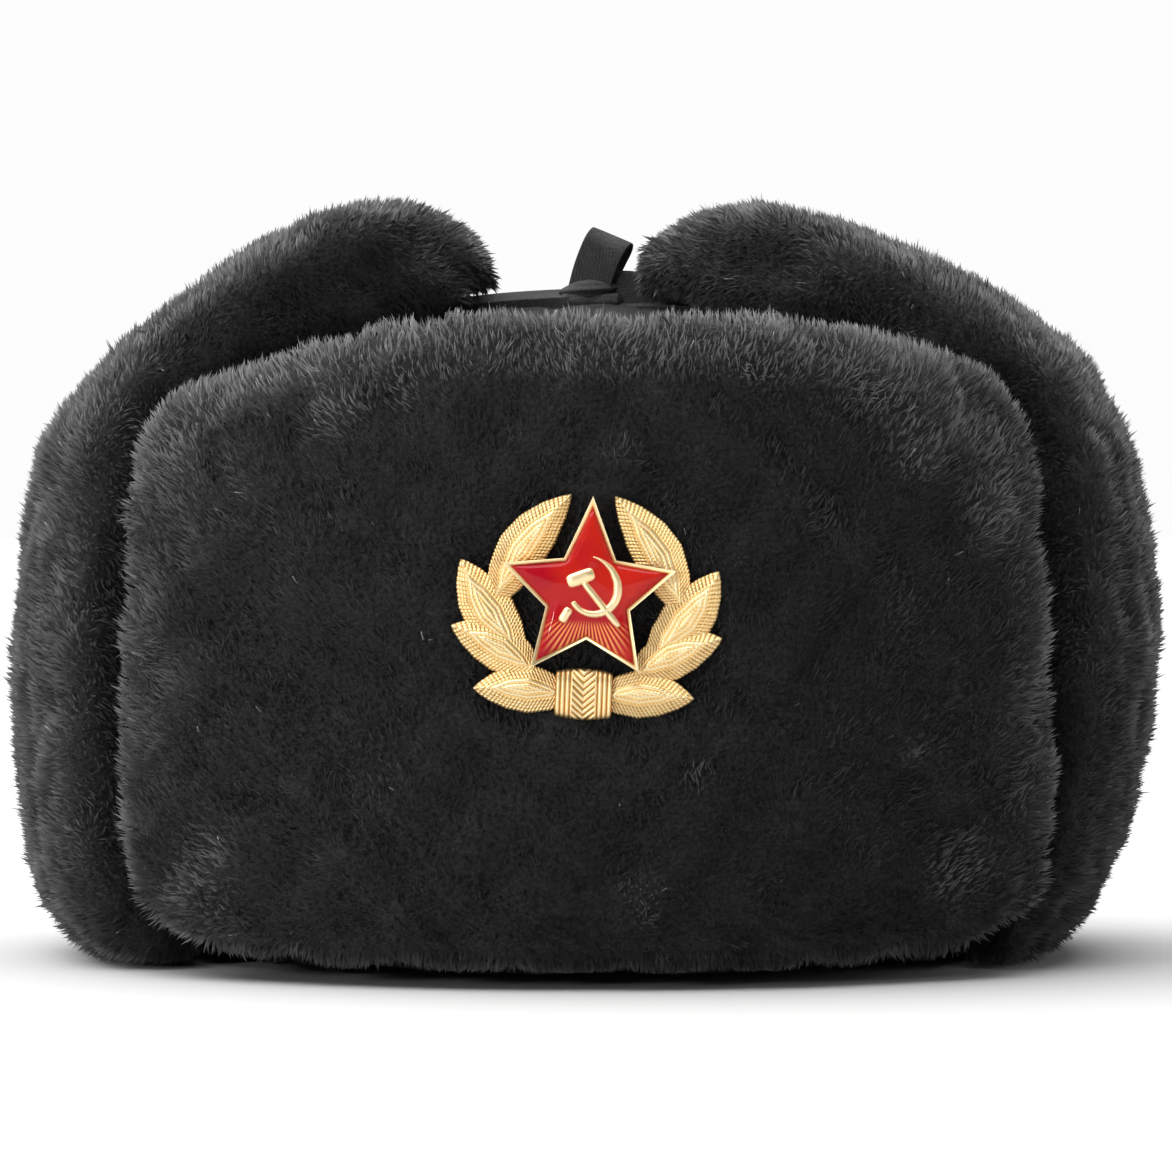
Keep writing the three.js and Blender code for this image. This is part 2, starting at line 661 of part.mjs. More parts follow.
// The hammer and sickle between two levels, grown all round for the hole that it passes through.
function emblemSolid(from, to, grow) {
  const rim = (inner) =>
    sickleBlade.map(({ angle, outer, thick }) => {
      const radius = inner ? starRadius * (outer - thick) - grow : starRadius * outer + grow;
      return {
        u: sickleMiddle.u * starRadius + radius * Math.cos(radians(angle)),
        v: sickleMiddle.v * starRadius + radius * Math.sin(radians(angle)),
      };
    });
  const pieces = [solidOf(plate([...rim(false), ...rim(true).reverse()], from, to))];
  for (const bar of emblemBars) {
    const start = new THREE.Vector2(bar.startU, bar.startV).multiplyScalar(starRadius);
    const end = new THREE.Vector2(bar.endU, bar.endV).multiplyScalar(starRadius);
    const travel = end.clone().sub(start);
    const size = [travel.length() + 2 * grow, bar.wide * starRadius + 2 * grow, to - from];
    const middle = start.add(end).divideScalar(2);
    const box = new THREE.BoxGeometry(...size).rotateZ(travel.angle());
    pieces.push(solidOf(box.translate(middle.x, middle.y, (from + to) / 2)));
  }
  return wasm.Manifold.union(pieces);
}

const starBase = leafEdge + leafRidge * 1 + badgeGap;
const trayFloor = starBase + starPlate;

function starGeometry() {
  const whole = solidOf(plate(starOutline(0), starBase, trayFloor + starRimHeight));
  const tray = solidOf(plate(starOutline(starRimWidth), trayFloor, trayFloor + 2 * starRimHeight));
  const emblem = emblemSolid(starBase + starPlate / 2, trayFloor + emblemHeight, 0);
  return geometryOf(whole.subtract(tray).add(emblem));
}

function enamelGeometry() {
  const from = trayFloor + enamelGap;
  const fill = solidOf(plate(starOutline(starRimWidth + enamelGap), from, from + enamelThickness));
  return geometryOf(fill.subtract(emblemSolid(trayFloor - 1, trayFloor + 2 * emblemHeight, enamelGap)));
}

const badgePlane = -(crownHalfLength + sewnGap + frontThickness) + badgePress;

// Turns a cockade geometry from its own plane to its place on the forehead flap.
function onForehead(geometry) {
  return geometry
    .rotateZ(radians(badgeTilt))
    .rotateX(Math.PI / 2)
    .translate(badgeOffset, badgePlane, badgeHeight);
}

// The forehead flap with the pile pressed flat behind the cockade, and with a slot for each prong.
function frontGeometry() {
  const panel = solidOf(furPanel(placeFront, frontThickness, 7, 26));
  const sides = 28;
  const swell = (value) => Math.sign(value) * Math.abs(value) ** 0.7;
  const seat = Array.from({ length: sides }, (_, i) => {
    const turn = (2 * Math.PI * i) / sides;
    return {
      u: (1.47 * starRadius + seatMargin) * swell(Math.cos(turn)),
      v: (1.24 * starRadius + seatMargin) * swell(Math.sin(turn)) - 0.13 * starRadius,
    };
  });
  const pressed = solidOf(onForehead(plate(seat, -badgeGap, 4 * frontThickness)));
  const slots = [-1, 1].map((side) => solidOf(onForehead(geometryOf(prongSolid(side, badgeGap)))));
  return geometryOf(panel.subtract(pressed).subtract(wasm.Manifold.union(slots)));
}

const furBlack = new THREE.MeshStandardMaterial({ color: 0x141414, roughness: 0.95 });
const clothBlack = new THREE.MeshStandardMaterial({ color: 0x1b1b1c, roughness: 0.85 });
const tapeBlack = new THREE.MeshStandardMaterial({ color: 0x232324, roughness: 0.7 });
const goldPlate = new THREE.MeshStandardMaterial({ color: 0xd9a441, roughness: 0.32, metalness: 1 });
const redEnamel = new THREE.MeshStandardMaterial({ color: 0xa80f14, roughness: 0.12 });

const ushanka = new THREE.Group();

function add(name, geometry, material) {
  const mesh = new THREE.Mesh(geometry, material);
  mesh.name = name;
  ushanka.add(mesh);
}

add("crown", crownGeometry(), clothBlack);
add("front_flap", frontGeometry(), furBlack);
add("neck_flap", furPanel(placeNeck, neckThickness, 6, 26), furBlack);
add("ear_flap_left", furPanel(placeLeftEar, earThickness, 10, 16), furBlack);
add("ear_flap_right", furPanel(placeRightEar, earThickness, 10, 16), furBlack);
add("tie_tape_left", tieTape(leftEarSections, -1), tapeBlack);
add("tie_tape_right", tieTape(rightEarSections, 1), tapeBlack);
add("tie_knot", knotGeometry(), tapeBlack);
add("tie_loop", loopGeometry(), tapeBlack);
add("badge_wreath", onForehead(wreathGeometry()), goldPlate);
add("badge_star", onForehead(starGeometry()), goldPlate);
add("badge_enamel", onForehead(enamelGeometry()), redEnamel);

// The origin is the middle of the hat's footprint, on the floor.
const bounds = new THREE.Box3().setFromObject(ushanka);
const middle = bounds.getCenter(new THREE.Vector3());
ushanka.position.set(-middle.x, -middle.y, -bounds.min.z);

export default ushanka;
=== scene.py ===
"""A black fur ushanka with its ear flaps tied up over the crown and an enamelled star cockade.

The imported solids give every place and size. Each sub-assembly below is a class that dresses its own solids:
the four fur flaps, the padded cloth crown, the ties and the cockade.
"""
import logging
import math
from collections.abc import Callable, Iterable, Sequence
from dataclasses import dataclass
from enum import Enum
from typing import NamedTuple

import bmesh
import bpy
import numpy as np
from mathutils import Matrix, Vector
from mathutils.bvhtree import BVHTree


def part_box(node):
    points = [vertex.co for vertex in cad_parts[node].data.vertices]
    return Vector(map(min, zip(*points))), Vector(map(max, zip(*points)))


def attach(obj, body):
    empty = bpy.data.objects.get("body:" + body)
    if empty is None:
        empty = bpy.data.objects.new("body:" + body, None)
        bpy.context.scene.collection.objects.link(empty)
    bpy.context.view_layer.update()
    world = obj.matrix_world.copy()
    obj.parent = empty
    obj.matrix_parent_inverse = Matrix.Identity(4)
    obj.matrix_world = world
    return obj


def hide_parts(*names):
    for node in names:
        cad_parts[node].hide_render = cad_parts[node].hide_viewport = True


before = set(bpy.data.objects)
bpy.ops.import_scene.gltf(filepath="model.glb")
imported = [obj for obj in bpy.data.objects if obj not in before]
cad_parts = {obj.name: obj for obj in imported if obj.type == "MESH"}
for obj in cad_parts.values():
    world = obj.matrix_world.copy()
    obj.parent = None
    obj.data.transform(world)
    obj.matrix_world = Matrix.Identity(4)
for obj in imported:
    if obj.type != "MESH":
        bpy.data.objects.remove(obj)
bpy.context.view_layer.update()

MM = 0.001
BODY = "root"
OWN_MAP = "OFBake"
RELIEF = "relief"
RUN = "run"
EDGE = "edge"
ENAMEL_SPAN = 40
LOG = logging.getLogger("ushanka")

Colour = tuple[float, float, float]
Place = tuple[float, float, float]
Array = np.ndarray
Shape = bmesh.types.BMesh
Material = bpy.types.Material
Socket = bpy.types.NodeSocket
Piece = bpy.types.Object
Mesh = bpy.types.Mesh


class Value:
    """A number that varies over a surface. Its operators add Math nodes."""

    def __init__(self, graph: "Graph", socket: Socket) -> None:
        """Wraps an output of one of the graph's nodes."""
        self.graph = graph
        self.socket = socket

    def math(self, operation: str, *others: "Value | float", flip: bool = False) -> "Value":
        """Adds one Math node.

        Args:
            operation: the node's operation, such as MULTIPLY.
            others: what it works on beside this value.
            flip: whether this value comes last.

        Returns:
            The node's result.
        """
        terms = [*others, self] if flip else [self, *others]
        made = self.graph.node("Math", {"operation": operation}, dict(enumerate(terms)))
        return Value(self.graph, made.outputs[0])

    def __add__(self, other: "Value | float") -> "Value":
        """This plus another."""
        return self.math("ADD", other)

    def __sub__(self, other: "Value | float") -> "Value":
        """This less another."""
        return self.math("SUBTRACT", other)

    def __rsub__(self, other: float) -> "Value":
        """A number less this."""
        return self.math("SUBTRACT", other, flip=True)

    def __mul__(self, other: "Value | float") -> "Value":
        """This times another."""
        return self.math("MULTIPLY", other)

    __radd__ = __add__
    __rmul__ = __mul__

    def sine(self) -> "Value":
        """The sine of this angle."""
        return self.math("SINE")

    def size(self) -> "Value":
        """This without its sign."""
        return self.math("ABSOLUTE")

    def bound(self, low: float, high: float) -> "Value":
        """This where it lies between two bounds, and the nearer bound elsewhere."""
        return self.math("MAXIMUM", low).math("MINIMUM", high)

    def above(self, level: float, softness: float) -> "Value":
        """0 below a level and 1 above it, with a soft step between.

        Args:
            level: where the step is at its middle.
            softness: how wide it is.

        Returns:
            The step.
        """
        inputs = {"Value": self, "From Min": level - softness / 2, "From Max": level + softness / 2}
        settings = {"interpolation_type": "SMOOTHSTEP"}
        return Value(self.graph, self.graph.node("MapRange", settings, inputs).outputs[0])


class Graph:
    """A node tree, and the one method that adds nodes to it."""

    def __init__(self, tree: bpy.types.NodeTree) -> None:
        """Takes a tree that has its output already."""
        self.tree = tree

    def node(
        self,
        kind: str,
        settings: dict[str, object] | None = None,
        inputs: dict[int | str, object] | None = None,
    ) -> bpy.types.Node:
        """Adds a node.

        Args:
            kind: its type without ShaderNode.
            settings: its own settings, set first.
            inputs: the values or links of its sockets, by name or number.

        Returns:
            The node.
        """
        made = self.tree.nodes.new("ShaderNode" + kind)
        for name, setting in (settings or {}).items():
            setattr(made, name, setting)
        for key, given in (inputs or {}).items():
            self.feed(made.inputs[key], given)
        return made

    def feed(self, socket: Socket, given: object) -> None:
        """Links a socket to what feeds it, or sets its value.

        Args:
            socket: the input.
            given: a Value, an output socket, a number or a colour.
        """
        if isinstance(given, Value):
            given = given.socket
        if isinstance(given, Socket):
            self.tree.links.new(given, socket)
        elif socket.type == "RGBA":
            socket.default_value = (*given, 1)
        else:
            socket.default_value = given

    def axes(self, vector: Socket) -> tuple[Value, Value, Value]:
        """A vector's three numbers."""
        split = self.node("SeparateXYZ", {}, {0: vector})
        return tuple(Value(self, output) for output in split.outputs)


class Shader(Graph):
    """One node material on a Principled BSDF."""

    def __init__(self, name: str, **constants: float | Colour) -> None:
        """Starts a material.

        Args:
            name: the material's name.
            constants: the BSDF's sockets by name with _ for a space, each the same all over.
        """
        self.material = bpy.data.materials.new(name)
        self.material.use_nodes = True
        super().__init__(self.material.node_tree)
        self.surface = self.tree.nodes["Principled BSDF"]
        for socket, setting in constants.items():
            given = (*setting, 1) if isinstance(setting, tuple) else setting
            self.surface.inputs[socket.replace("_", " ")].default_value = given

    def places(self) -> Socket:
        """The Object coordinates of a point, in metres."""
        return self.node("TexCoord").outputs["Object"]

    def attribute(self, name: str) -> Value:
        """A number that the mesh keeps at its vertices."""
        return Value(self, self.node("Attribute", {"attribute_name": name}).outputs["Fac"])

    def noise(self, places: Socket, grain: float, detail: float = 2) -> Value:
        """Noise from 0 to 1.

        Args:
            places: the coordinates that it follows.
            grain: the size of its grains in millimetres.
            detail: how many finer layers it has.

        Returns:
            The noise.
        """
        inputs = {"Vector": places, "Scale": 1 / (grain * MM), "Detail": detail}
        return Value(self, self.node("TexNoise", {}, inputs).outputs[0])

    def ramp(self, by: Value, *stops: tuple[float, Colour]) -> Socket:
        """A colour that a value picks from a ramp.

        Args:
            by: the value, from 0 to 1.
            stops: each stop's place and colour, in order.

        Returns:
            The colour.
        """
        node = self.node("ValToRGB", {}, {0: by})
        elements = node.color_ramp.elements
        while len(elements) < len(stops):
            elements.new(1)
        for element, (place, colour) in zip(elements, stops):
            element.position = place
            element.color = (*colour, 1)
        return node.outputs[0]

    def colour(self, given: Socket) -> None:
        """Feeds the base colour."""
        self.feed(self.surface.inputs["Base Color"], given)

    def roughness(self, given: Value) -> None:
        """Feeds the roughness."""
        self.feed(self.surface.inputs["Roughness"], given)

    def bump(self, height: Value, depth: float, strength: float = 1) -> None:
        """Feeds the normal with a bump.

        Args:
            height: the height from 0 to 1.
            depth: how high 1 stands, in millimetres.
            strength: how much of the bump shows.
        """
        inputs = {"Strength": strength, "Distance": depth * MM, "Height": height}
        self.feed(self.surface.inputs["Normal"], self.node("Bump", {}, inputs).outputs[0])


def grey(level: float) -> Colour:
    """A neutral colour with a breath of blue, as black dyed pile and cloth have."""
    return (level, level, level * 1.03)


@dataclass(frozen=True)
class PileFinish:
    """Black dyed pile. The strand map holds a strand's tone across, which carries painted rim light and
    painted glints, and its root to tip upwards.
    """

    root: float = 0.017
    dark: float = 0.0215
    light: float = 0.15
    painted_glint: float = 0.8
    sheen: float = 0.16

    def build(self) -> Material:
        """Makes the material.

        Returns:
            The material of the strands.
        """
        shader = Shader(
            "black_pile", Roughness=0.7, Specular_IOR_Level=0.1, Sheen_Weight=self.sheen, Sheen_Roughness=0.4
        )
        tone, rise, _ = shader.axes(shader.node("UVMap", {"uv_map": OWN_MAP}).outputs[0])
        # Painted shade: each strand is darker towards its root, deep in the pile.
        shade = tone * (rise * 0.45 + 0.55)
        # The ramp's two palest stops colour the painted rim light and the painted glints.
        shader.colour(
            shader.ramp(
                shade,
                (0, grey(self.root)),
                (0.3, grey(self.dark)),
                (0.85, grey(self.light)),
                (0.97, grey(self.painted_glint)),
            )
        )
        return shader.material


@dataclass(frozen=True)
class PeltFinish:
    """The backing and the dense under pile that show between the strands."""

    dark: float = 0.015
    light: float = 0.036
    grain: float = 0.8

    def build(self) -> Material:
        """Makes the material.

        Returns:
            The material of the pelt.
        """
        shader = Shader("black_under_pile", Roughness=0.9, Specular_IOR_Level=0.05, Sheen_Weight=0.1)
        grain = shader.noise(shader.places(), self.grain, 3)
        shader.colour(shader.ramp(grain, (0.35, grey(self.dark)), (0.7, grey(self.light))))
        shader.bump(grain, 0.6)
        return shader.material


@dataclass(frozen=True)
class ClothFinish:
    """Matt woven cloth, with threads along two slants of the hat's own axes. Sizes are in millimetres."""

    name: str
    dark: float = 0.014
    light: float = 0.045
    thread: float = 0.9
    seams: tuple[float, float] | None = None
    seam_line: float = 0.4
    stitch_row: float = 2.8
    stitch_length: float = 3.4

    def build(self) -> Material:
        """Makes the material.

        Returns:
            The material of the cloth.
        """
        shader = Shader(self.name, Specular_IOR_Level=0.02)
        places = shader.places()
        x, y, z = shader.axes(places)
        turn = math.tau / (self.thread * MM)
        slub = shader.noise(places, 5, 2) * 14
        warp = ((x + z * 0.7) * turn + slub).sine()
        weft = ((y - z * 0.7) * turn - slub).sine()
        weave = (warp * weft) * 0.35 + (warp + weft) * 0.12 + 0.5
        wear = shader.noise(places, 9, 4)
        fuzz = shader.noise(places, 0.7, 2)
        shade = weave * 0.22 + wear * 0.5 + fuzz * 0.28
        height = weave * 0.35 + fuzz * 0.15 + 0.25
        if self.seams:
            line, stitch = self.sewn(x * (1 / MM), y * (1 / MM), z * (1 / MM))
            shade = shade * (1 - line * 0.6) + stitch * 0.3
            height = height * (1 - line) + stitch * 0.4
        shader.colour(shader.ramp(shade, (0.3, grey(self.dark)), (0.72, grey(self.light))))
        shader.roughness(wear * 0.2 + 0.75)
        shader.bump(height, 0.5)
        return shader.material

    def sewn(self, x: Value, y: Value, z: Value) -> tuple[Value, Value]:
        """The crown's four seams, and a row of stitches on both sides of each.

        Args:
            x: the place along X.
            y: the place along Y.
            z: the height.

        Returns:
            How much a point is seam line, and how much it is stitch.
        """
        half_width, half_length = self.seams
        across = (x.size() * half_length - y.size() * half_width) * (1 / math.hypot(half_width, half_length))
        gap = across.size()
        run = (x * x + y * y).math("SQRT") - z
        line = 1 - gap.above(self.seam_line, 0.5)
        row = 1 - (gap - self.stitch_row).size().above(0.34, 0.2)
        return line, row * (run * (math.tau / self.stitch_length)).sine().above(-0.3, 0.5)


@dataclass(frozen=True)
class LiningFinish:
    """Dark satin lining, quilted in diamonds. Sizes are in millimetres."""

    dark: float = 0.012
    light: float = 0.035
    radius: float = 88
    diamond: float = 26

    def build(self) -> Material:
        """Makes the material.

        Returns:
            The material of the lining.
        """
        shader = Shader("quilted_lining", Specular_IOR_Level=0.3)
        places = shader.places()
        x, y, z = shader.axes(places)
        arc = y.math("ARCTAN2", x) * self.radius
        turn = math.pi / self.diamond
        first = ((arc + z * (1 / MM)) * turn).sine().size()
        second = ((arc - z * (1 / MM)) * turn).sine().size()
        puff = first.math("MINIMUM", second).above(0.2, 0.4)
        grain = shader.noise(places, 1.1, 3)
        # Painted shade: the satin is darker in the dips between the quilted puffs.
        shader.colour(shader.ramp(puff * 0.6 + grain * 0.4, (0.2, grey(self.dark)), (0.8, grey(self.light))))
        shader.roughness(0.5 + grain * 0.2)
        shader.bump(puff * 0.85 + grain * 0.15, 1.2)
        return shader.material


@dataclass(frozen=True)
class GiltFinish:
    """Stamped and gilt metal, beaded where it is a leaf. Its colour follows the relief: pale on high relief,
    a painted highlight, and warm and dark in its hollows, tarnish with painted shade.

    Sizes are in millimetres.
    """

    name: str
    beaded: bool = False
    high: Colour = (1.0, 0.8, 0.46)
    middle: Colour = (0.92, 0.57, 0.2)
    low: Colour = (0.4, 0.17, 0.04)
    row: float = 0.74
    bead: float = 0.66
    border: float = 2.3
    line: float = 0.95

    def build(self) -> Material:
        """Makes the material.

        Returns:
            The material of the gilt metal.
        """
        shader = Shader(self.name, Metallic=0.9)
        places = shader.places()
        relief = shader.attribute(RELIEF)
        if self.beaded:
            relief = relief * 0.35 + self.struck(shader) * 0.65
        wear = shader.noise(places, 2.5, 3)
        level = (relief + (wear - 0.5) * 0.4).bound(0, 1)
        # Painted highlight and shade: the colour follows the relief, pale on raised parts and dark in the
        # hollows, where it also stands for tarnish.
        shader.colour(shader.ramp(level, (0.08, self.low), (0.42, self.middle), (0.75, self.high)))
        shader.roughness(0.4 - relief * 0.1 + wear * 0.1)
        if self.beaded:
            shader.bump(relief, 0.3)
        else:
            shader.bump(shader.noise(places, 0.22, 2), 0.02)
        return shader.material

    def struck(self, shader: Shader) -> Value:
        """A leaf's struck pattern: slanting rows of beads along its border and nested lines inside.

        Args:
            shader: the material.

        Returns:
            The pattern's height from 0 to 1.
        """
        run, edge = shader.attribute(RUN), shader.attribute(EDGE)
        rows = ((run + edge * 0.6) * (math.pi / self.row)).sine().size()
        beads = (edge * (math.pi / self.bead)).sine().size()
        lines = (edge * (math.tau / self.line)).sine() * 0.3 + 0.6
        inside = edge.above(self.border, 0.35)
        return rows * (beads * 0.6 + 0.4) * (1 - inside) + (lines + rows * 0.2 - 0.1) * inside


@dataclass(frozen=True)
class EnamelFinish:
    """Glossy translucent red enamel over struck rays that fan out below the emblem."""

    deep: Colour = (0.38, 0.002, 0.012)
    bright: Colour = (0.52, 0.016, 0.007)
    ray: Colour = (0.9, 0.33, 0.1)
    ray_count: int = 72

    def build(self) -> Material:
        """Makes the material.

        Returns:
            The material of the enamel.
        """
        shader = Shader(
            "red_enamel", Roughness=0.2, Specular_IOR_Level=0.04, Coat_Weight=0.42, Coat_Roughness=0.03
        )
        across, up, _ = shader.axes(shader.node("UVMap", {"uv_map": OWN_MAP}).outputs[0])
        u = (across - 0.5) * ENAMEL_SPAN
        v = (up - 0.5) * ENAMEL_SPAN
        # The rays start at the middle of the star and fade a little short of its edge.
        angle = u.math("ARCTAN2", v)
        rays = ((angle * self.ray_count).sine() * 0.5 + 0.5).above(0.6, 0.5)
        reach = (u * u + v * v).math("SQRT")
        low = (0 - v).above(5.6, 1.6) * (1 - reach.above(13.5, 4)) * (1 - u.size().above(7.5, 5))
        mask = rays * low * 0.85
        cloud = shader.noise(shader.places(), 7, 2) + (u + v) * 0.015
        body = shader.ramp(cloud, (0.3, self.deep), (0.7, self.bright))
        mixed = shader.node("Mix", {"data_type": "RGBA"}, {"Factor": mask, 6: body, 7: self.ray})
        shader.colour(mixed.outputs[2])
        return shader.material


def mesh_of(shape: Shape, name: str = "workpiece") -> Mesh:
    """Turns a shape into a mesh.

    Args:
        shape: the shape. It is freed.
        name: the mesh's name.

    Returns:
        The mesh.
    """
    mesh = bpy.data.meshes.new(name)
    shape.to_mesh(mesh)
    shape.free()
    return mesh


def merged_copy(node: str) -> Shape:
    """A solid's mesh with its loose triangles joined.

    Args:
        node: the solid's name.

    Returns:
        The joined copy.
    """
    shape = bmesh.new()
    shape.from_mesh(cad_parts[node].data)
    bmesh.ops.remove_doubles(shape, verts=shape.verts, dist=0.002 * MM)
    return shape


def piece_from(
    name: str, form: Shape | Mesh, finishes: Sequence[Material], nodes: Iterable[str] = ()
) -> Piece:
    """Makes a smooth shaded object and fastens it to the hat.

    Args:
        name: the object's name.
        form: its form, in metres and in place. A shape is freed.
        finishes: its materials.
        nodes: the solids that it replaces.

    Returns:
        The object.
    """
    mesh = mesh_of(form, name) if isinstance(form, Shape) else form
    for finish in finishes:
        mesh.materials.append(finish)
    mesh.polygons.foreach_set("use_smooth", [True] * len(mesh.polygons))
    piece = bpy.data.objects.new(name, mesh)
    bpy.context.scene.collection.objects.link(piece)
    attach(piece, BODY)
    if nodes:
        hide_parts(*nodes)
    return piece


def with_modifiers(shape: Shape, *modifiers: tuple[str, dict[str, object]]) -> Shape:
    """Runs a shape through modifiers.

    Args:
        shape: the shape. It is freed.
        modifiers: each modifier's type and settings.

    Returns:
        The finished shape.
    """
    mesh = mesh_of(shape)
    holder = bpy.data.objects.new("workpiece", mesh)
    bpy.context.scene.collection.objects.link(holder)
    for kind, settings in modifiers:
        modifier = holder.modifiers.new(kind.title(), kind)
        for name, setting in settings.items():
            setattr(modifier, name, setting)
    depsgraph = bpy.context.evaluated_depsgraph_get()
    finished = bmesh.new()
    finished.from_object(holder, depsgraph)
    bpy.data.objects.remove(holder)
    bpy.data.meshes.remove(mesh)
    return finished


def remeshed(node: str, voxel: float, rounds: int) -> Shape:
    """A solid's form in small even faces.

    Args:
        node: the solid's name.
        voxel: the size of the faces in millimetres.
        rounds: how often it is smoothed.

    Returns:
        The form.
    """
    shape = with_modifiers(merged_copy(node), ("REMESH", {"mode": "VOXEL", "voxel_size": voxel * MM}))
    relax(shape, rounds)
    return shape


def placed(shape: Shape, middle: Place, turn: Matrix) -> Shape:
    """Turns a shape and moves it to its place.

    Args:
        shape: the shape, in millimetres.
        middle: where its own zero goes, in millimetres.
        turn: how it is turned.

    Returns:
        The same shape, in metres.
    """
    place = Matrix.Translation(Vector(middle) * MM)
    bmesh.ops.transform(shape, matrix=place @ turn @ Matrix.Scale(MM, 4), verts=shape.verts)
    return shape


def relax(shape: Shape, rounds: int) -> None:
    """Smooths a shape's surface in place.

    Args:
        shape: the shape.
        rounds: how often it is smoothed.
    """
    axes = {"use_axis_" + axis: True for axis in "xyz"}
    for _ in range(rounds):
        bmesh.ops.smooth_vert(shape, verts=shape.verts, factor=0.5, **axes)
    shape.normal_update()


def unit(vectors: Array) -> Array:
    """Rows of vectors, each made one long."""
    return vectors / np.maximum(np.linalg.norm(vectors, axis=1, keepdims=True), 1e-12)


def flattened(vectors: Array, out: Array) -> Array:
    """Rows of vectors without their part along the surface's own directions."""
    return vectors - out * (vectors * out).sum(axis=1, keepdims=True)


def rows_of(items: bpy.types.bpy_prop_collection, name: str, kind: type = np.float32) -> Array:
    """One property of three numbers of every item.

    Args:
        items: the items, such as a mesh's vertices.
        name: the property's name.
        kind: the type of its numbers.

    Returns:
        A row for each item.
    """
    flat = np.empty(len(items) * 3, kind)
    items.foreach_get(name, flat)
    return flat.reshape(-1, 3)


def ripples(points: Array, span: float, seed: int) -> Array:
    """Smooth noise over space, mostly from -1 to 1.

    Args:
        points: places in metres, a row each.
        span: the size of its swells in millimetres.
        seed: which noise.

    Returns:
        A number for each point.
    """
    waves = 9
    rng = np.random.default_rng(seed)
    directions = unit(rng.normal(size=(waves, 3)))
    turns = math.tau / (span * MM * rng.uniform(0.6, 1.6, waves))
    angles = points @ (directions * turns[:, None]).T + rng.uniform(0, math.tau, waves)
    return np.sin(angles).sum(axis=1) / math.sqrt(waves)


class Lay(Enum):
    """Which way a flap's pile is combed."""

    FOREHEAD = "up the forehead, and down along the foot"
    NAPE = "up the back"
    EAR_AT_LEFT = "up the side at -X and over the crown"
    EAR_AT_RIGHT = "up the side at +X and over the crown"

    def flow(self, roots: Array, out: Array) -> Array:
        """The comb's direction at each root.

        Args:
            roots: where the strands start, in metres.
            out: the surface's directions there.

        Returns:
            A direction along the surface for each root.
        """
        across, up = np.array([0.0, 1.0, 0.0]), np.array([0.0, 0.0, 1.0])
        foot, change = 9 * MM, 10 * MM
        if self is Lay.FOREHEAD:
            flow = np.clip((roots[:, 2] - foot) / change, -1, 1)[:, None] * up
        elif self is Lay.NAPE:
            flow = np.broadcast_to(up, roots.shape)
        else:
            flow = (1 if self is Lay.EAR_AT_LEFT else -1) * np.cross(across, out)
        return unit(flattened(flow, out) + 1e-6)


@dataclass(frozen=True)
class Dab:
    """A soft press into a pelt, or a swell where its depth is less than 0. Sizes are in millimetres.

    Its pale share is painted light that makes the pile paler on a swell or a lit side; below 0 it is painted
    shade that darkens the pile in a dent.
    """

    middle: Place
    radius: float
    depth: float
    pale: float = 0

    def press(self, shape: Shape) -> None:
        """Moves the vertices near the dab's middle along their normals.

        Args:
            shape: the pelt's shape.
        """
        middle = Vector(self.middle) * MM
        for vert in shape.verts:
            gap = (vert.co - middle).length / (self.radius * MM)
            if gap < 1:
                vert.co -= vert.normal * self.depth * MM * (1 - gap * gap) ** 2

    def painted_light_and_shade(self, roots: Array) -> Array:
        """The painted light and shade that the dab puts on the strands at each root."""
        gaps = np.linalg.norm(roots / MM - np.array(self.middle), axis=1) / self.radius
        return self.pale * np.clip(1 - gaps * gaps, 0, 1) ** 1.5


